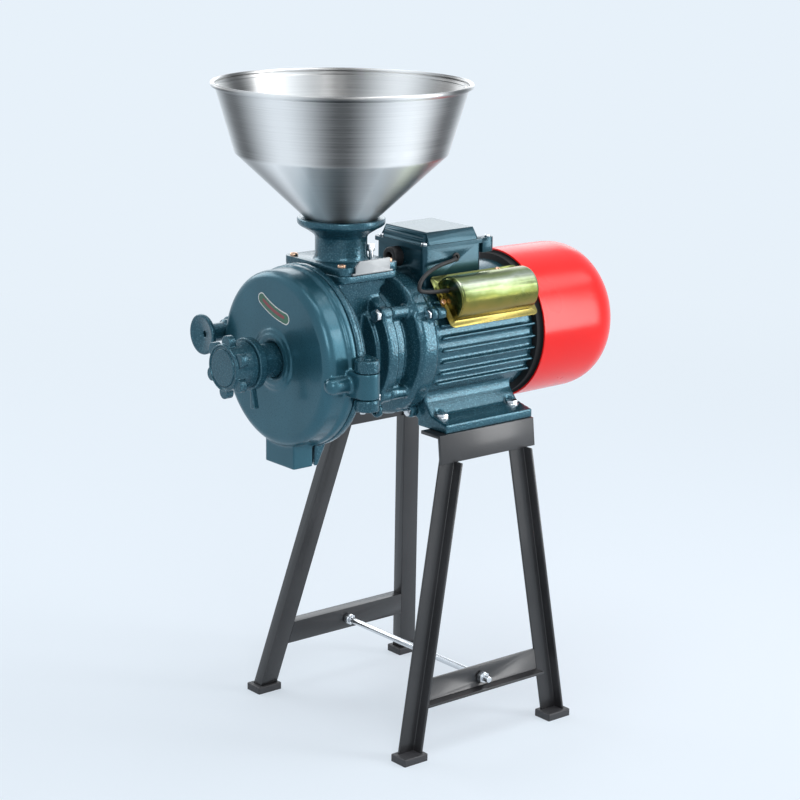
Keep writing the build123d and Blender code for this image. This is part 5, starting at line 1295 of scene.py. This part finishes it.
# ---------------- motor
@dataclass
class MotorBody(SubAssembly):
    """Finned motor frame with its end shields, cowl and bolts."""

    cowl_radius: float = 92.0
    cowl_taper: float = 1.0
    cowl_wall: float = 2.2
    dome: float = 60.0
    dome_power: float = 2.6
    dome_steps: int = 22
    vent: float = 3.5
    vent_rings: int = 3
    vent_pitch: float = 0.19
    screw_turns: tuple[float, ...] = (60.0, 265.0, 330.0)
    screw_hole: float = 2.05
    screw_reach: tuple[float, float] = (84.0, 98.0)

    def dome_rings(self, radius: float, length: float) -> list[Ring]:
        """Rounded end of the cowl from its rim to the axis.

        Args:
            radius: Radius where the dome starts.
            length: Length of the dome.

        Returns:
            The corners as (place along the shaft, radius).
        """
        start, steps = AT.cowl_end - self.dome, self.dome_steps
        rings: list[Ring] = []
        for step in range(steps + 1):
            turn = math.pi / 2 * step / steps
            along = math.sin(turn) ** (2 / self.dome_power) * length
            out = 0.0 if step == steps else math.cos(turn) ** (2 / self.dome_power) * radius
            rings.append((start + along, out))
        return rings

    def cowl(self) -> Thing:
        """Turns the cowl's shell and cuts its vents and screw holes.

        Returns:
            The cowl.
        """
        radius, inside, front = self.cowl_radius, self.cowl_radius - self.cowl_wall, AT.cowl
        outer = self.dome_rings(radius - self.cowl_taper, self.dome)
        inner = self.dome_rings(inside - self.cowl_taper, self.dome - self.cowl_wall)
        rings = outer[::-1] + [(front + 40, radius - 0.5), (front + 0.5, radius)]
        rings += [(front, radius - 0.4), (front, inside + 0.4), (front + 0.5, inside)] + inner
        shell = turned("cowl_shell", rings, steps=160, closed=False)
        cuts: list[Thing] = []
        for ring in range(1, self.vent_rings + 1):
            for i in range(4 * ring):
                turn = math.tau * i / (4 * ring)
                y = radius * self.vent_pitch * ring * math.cos(turn)
                z = AT.axis_z + radius * self.vent_pitch * ring * math.sin(turn)
                start, end = (AT.cowl_end - 30, y, z), (AT.cowl_end + 5, y, z)
                cuts.append(rod("vent", start, end, self.vent, 20))
        for turn in self.screw_turns:
            across, up = math.cos(math.radians(turn)), math.sin(math.radians(turn))
            ends = [(front + 8, r * across, AT.axis_z + r * up) for r in self.screw_reach]
            cuts.append(rod("screw_hole", ends[0], ends[1], self.screw_hole, 20))
        combine(shell, Change.CARVE, gather("cuts", cuts))
        return smooth(shell, 30)

    def build(self) -> None:
        """Models and dresses the motor's outside."""
        paint = self.palette
        sand_cast("base", "motor_frame", "finned_frame", 1.6, 3, paint.cast, 0.85)
        sand_cast("base", "front_end_shield", "shield_casting", 1.7, 4, paint.cast)
        recast_rows(
            "base", ("rear_end_shield", "rear_ring", 0.6, 2, paint.ring_black, "black_paint")
        )
        place(self.cowl(), paint.red, "base", ["fan_cowl"])
        recast_rows(
            "base",
            ("shield_bolts", "shield_bolt_set", 0.4, 2, paint.zinc, "bright_zinc"),
            ("cowl_screws", "cowl_screw_set", 0.4, 2, paint.zinc, "bright_zinc"),
        )


@dataclass
class TerminalBox(SubAssembly):
    """Terminal box with its bevelled lid, cable inlet and lead."""

    lead_radius: float = 2.45
    lead_points: tuple[Point, ...] = (
        (28.95, -34.0, 566.5),
        (28.95, -52.0, 566.5),
        (-4.35, -51.5, 561.5),
        (-32.5, -64.0, 557.0),
        (-49.5, -71.2, 549.0),
        (-49.5, -71.2, 535.1),
        (1.4, -71.2, 535.1),
    )

    def lead(self) -> Thing:
        """Bends the stiff lead from the box's side round to the capacitor's end.

        Returns:
            The lead.
        """
        release()
        bpy.ops.curve.primitive_nurbs_path_add()
        wire = bpy.context.object
        wire.data.splines.clear()
        line = wire.data.splines.new("NURBS")
        line.points.add(len(self.lead_points) - 1)
        for point, spot in zip(line.points, self.lead_points):
            point.co = (*metres(spot), 1.0)
        line.order_u = 3
        line.use_endpoint_u = True
        line.resolution_u = 10
        wire.data.bevel_depth = mm(self.lead_radius)
        wire.data.bevel_resolution = 5
        wire.data.use_fill_caps = True
        pick(wire)
        bpy.ops.object.convert(target="MESH")
        piece = tidy(settle(bpy.context.object, "capacitor_wire"))
        return smooth(piece, ROUNDED)

    def build(self) -> None:
        """Models and dresses the box."""
        paint = self.palette
        recast_rows(
            "base",
            ("terminal_box", "box_casting", 1.0, 3, paint.box, "hammertone"),
            ("terminal_box_lid", "box_lid", 0.9, 3, paint.box, "hammertone"),
            ("lid_screws", "lid_screw_set", 0.4, 2, paint.zinc, "bright_zinc"),
            ("cable_bush", "inlet_bush", 0.3, 2, paint.rubber, "rubber"),
            ("lead_grommet", "lead_bush", 0.3, 2, paint.rubber, "rubber"),
        )
        place(self.lead(), paint.rubber, "base", ["capacitor_lead"])


@dataclass
class CapacitorCase(SubAssembly):
    """Yellow zinc cover over the capacitor."""

    def build(self) -> None:
        """Models and dresses the cover."""
        paint = self.palette
        recast_rows(
            "base",
            ("capacitor_cover", "capacitor_case", 0.5, 2, paint.yellow, "yellow_zinc"),
            ("capacitor_screws", "case_screws", 0.3, 2, paint.brass, "brass"),
        )


# ---------------- stand
@dataclass
class AngleStand(SubAssembly):
    """Two welded angle-iron frames with a tie rod between them."""

    irons: tuple[str, ...] = (
        "near_rail",
        "far_rail",
        "near_front_leg",
        "near_rear_leg",
        "far_front_leg",
        "far_rear_leg",
        "near_crossbar",
        "far_crossbar",
    )
    fasteners: tuple[str, ...] = ("tie_rod", "tie_rod_nuts", "foot_bolts", "foot_nuts")
    bolt_x: tuple[float, float] = (-14.55, 95.45)
    bolt_y: float = 75.0
    seat_z: float = 384.0
    washer: float = 8.4
    washer_hole: float = 4.1
    washer_high: float = 1.6

    def washers(self) -> Thing:
        """Turns one washer and copies it under each foot bolt's head.

        Returns:
            All the washers as one piece.
        """
        low, high, hole, edge = self.seat_z, self.seat_z + self.washer_high, self.washer_hole, 0.3
        rings: list[Ring] = [(low, hole), (low, self.washer), (high - edge, self.washer)]
        rings += [(high, self.washer - edge), (high, hole)]
        first = turned("washer", rings, Way.UPRIGHT, (0.0, 0.0, 0.0), 40)
        copies: list[Thing] = []
        for x in self.bolt_x:
            for y in (-self.bolt_y, self.bolt_y):
                shift = Matrix.Translation((mm(x), mm(y), 0.0))
                copies.append(again(first, "washer_copy", shift))
        bpy.data.objects.remove(first, do_unlink=True)
        return smooth(gather("foot_washers", copies), 30)

    def build(self) -> None:
        """Dresses the irons, shoes, rod, bolts and nuts."""
        paint = self.palette
        for node in self.irons:
            recast_rows("base", (node, node + "_iron", 0.8, 3, paint.stand, "stand_paint"))
        recast_rows("base", ("foot_pads", "shoes", 0.9, 3, paint.pad, "pad_plastic"))
        for node in self.fasteners:
            recast_rows("base", (node, node + "_zinc", 0.5, 2, paint.zinc, "bright_zinc"))
        place(self.washers(), paint.zinc, "base")


@dataclass
class HiddenWorks(SubAssembly):
    """Pieces inside the mill and motor, which keep their own shape."""

    def build(self) -> None:
        """Gives each inner node its finish."""
        paint = self.palette
        ground = "motor_shaft front_bearing rear_bearing fixed_disc_screws disc_spring thrust_ball"
        finishes: tuple[tuple[Material, str], ...] = (
            (paint.sheets, "stator_core rotor_core"),
            (paint.copper, "stator_windings"),
            (paint.ground, ground),
            (paint.pad, "cooling_fan"),
            (paint.board, "terminal_board"),
            (paint.brass, "terminal_studs"),
            (paint.can, "capacitor"),
            (paint.rubber, "shaft_seal"),
            (paint.iron, "fixed_disc moving_disc feed_auger"),
        )
        for material, nodes in finishes:
            for node in nodes.split():
                finish_with(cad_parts[node], material)
                log.info("node %s dressed", node)


# ---------------- studio
@dataclass(frozen=True)
class Lamp:
    """Rectangular area lamp that looks at a point over the stand's middle."""

    name: str
    spot: Point
    aim_z: float
    width: float
    height: float
    power: float

    def hang(self) -> None:
        """Hangs the lamp in the scene."""
        data = bpy.data.lights.new(self.name, "AREA")
        data.shape = "RECTANGLE"
        data.size, data.size_y = mm(self.width), mm(self.height)
        data.energy = self.power
        lamp = bpy.data.objects.new(self.name, data)
        lamp.visible_camera = False
        lamp.location = metres(self.spot)
        aim = Vector((0.0, 0.0, self.aim_z)) - Vector(self.spot)
        lamp.rotation_euler = aim.to_track_quat("-Z", "Y").to_euler()
        bpy.context.scene.collection.objects.link(lamp)


@dataclass
class Studio:
    """Pale floor and backdrop, soft lamps and the camera."""

    eye: Point = (-1708.0, -2036.8, 1065.5)
    azimuth: float = 39.7
    elevation: float = 14.3
    roll: float = 0.8
    focal: float = 2278.4
    frame_px: float = 800.0
    sensor: float = 36.0
    backdrop: Colour = (0.8, 0.88, 0.955)
    sky_colour: Colour = (0.9, 0.93, 1.0)
    sky_power: float = 0.32
    floor_metres: float = 40.0
    fade_metres: Ring = (0.5, 2.6)
    fade_share: Ring = (0.55, 1.0)
    lamps: tuple[Lamp, ...] = (
        Lamp("key", (-1500, -2300, 1900), 450, 1100, 1300, 23.0),
        Lamp("top", (100, -200, 2600), 500, 2000, 1400, 26.0),
        Lamp("fill", (1900, -2050, 1050), 470, 700, 2200, 36.0),
        Lamp("shoulder", (1750, -1100, 2350), 420, 1200, 900, 10.0),
        Lamp("rim", (-600, 2300, 1500), 500, 1600, 1000, 16.0),
        Lamp("glow", (1550, 1950, 1350), 500, 2000, 1100, 9.0),
    )

    def camera(self) -> None:
        """Places the camera."""
        turn, dip, roll = (math.radians(v) for v in (self.azimuth, self.elevation, self.roll))
        level = math.cos(dip)
        ahead = Vector((math.sin(turn) * level, math.cos(turn) * level, -math.sin(dip)))
        right = Vector((math.cos(turn), -math.sin(turn), 0))
        above = right.cross(ahead)
        side = right * math.cos(roll) + above * math.sin(roll)
        over = above * math.cos(roll) - right * math.sin(roll)
        data = bpy.data.cameras.new("camera")
        data.sensor_width = self.sensor
        data.lens = self.focal / self.frame_px * self.sensor
        data.clip_end = 100.0
        camera = bpy.data.objects.new("camera", data)
        columns = (side, over, -ahead, Vector(metres(self.eye)))
        rows = [[column[i] for column in columns] for i in range(3)]
        camera.matrix_world = Matrix(rows + [[0, 0, 0, 1]])
        bpy.context.scene.collection.objects.link(camera)
        bpy.context.scene.camera = camera

    def seen_bright(self, graph: Graph, lit: Socket, share: Socket | float, output: Node) -> None:
        """Shows the backdrop's own colour to the camera, and through gloss and glass.

        Args:
            graph: The graph of the floor's material or of the world.
            lit: The shader that the lamps light.
            share: How much of the backdrop's own colour these rays see.
            output: The graph's output node.
        """
        rays = graph.add("LightPath", {}).outputs
        seen = graph.math("MAXIMUM", rays["Is Camera Ray"], rays["Is Glossy Ray"])
        seen = graph.math("MAXIMUM", seen, rays["Is Transmission Ray"])
        seen = graph.math("MULTIPLY", seen, share)
        glow = graph.add("Emission", {"Color": (*self.backdrop, 1.0), "Strength": 1.0})
        blend = graph.add("MixShader", {0: seen, 1: lit, 2: glow.outputs[0]})
        graph.feed(output, {"Surface": blend.outputs[0]})

    def floor(self) -> None:
        """Lays the floor, which keeps the object's soft shadow and pales with distance."""
        release()
        bpy.ops.mesh.primitive_plane_add(size=self.floor_metres, location=(0, 0, 0))
        ground = settle(bpy.context.object, "studio_floor")
        recipe = Recipe("studio_floor")
        dull = {"Roughness": 0.9, "Specular IOR Level": 0.1}
        shader = recipe.feed(recipe.shader, {"Base Color": (*self.backdrop, 1.0), **dull})
        reach = recipe.add("VectorMath", {0: recipe.mapped()}, operation="LENGTH")
        distance = reach.outputs["Value"]
        share = recipe.span(distance, self.fade_metres, self.fade_share, "SMOOTHSTEP")
        output = recipe.tree.nodes["Material Output"]
        self.seen_bright(recipe, shader.outputs[0], share, output)
        finish_with(ground, recipe.material)

    def sky(self) -> None:
        """Surrounds the mill with soft light and a pale backdrop."""
        world = bpy.data.worlds.new("studio")
        bpy.context.scene.world = world
        world.use_nodes = True
        graph = Graph(world.node_tree)
        soft = {"Color": (*self.sky_colour, 1.0), "Strength": self.sky_power}
        plain = graph.feed(graph.tree.nodes["Background"], soft)
        self.seen_bright(graph, plain.outputs[0], 1.0, graph.tree.nodes["World Output"])

    def build(self) -> None:
        """Builds the whole studio."""
        bpy.context.scene.view_settings.view_transform = "Standard"
        self.camera()
        self.floor()
        self.sky()
        for lamp in self.lamps:
            lamp.hang()


PARTS = (
    HopperBowl,
    FeedThroat,
    GrindingHead,
    HandScrews,
    CoverBadge,
    MotorBody,
    TerminalBox,
    CapacitorCase,
    AngleStand,
    HiddenWorks,
)


def main() -> None:
    """Builds and dresses the mill, piece by piece."""
    logging.basicConfig(level=logging.INFO, format="%(message)s")
    palette = Palette()
    for part in PARTS:
        part(palette).build()
    Studio().build()


if __name__ == "__main__":
    main()
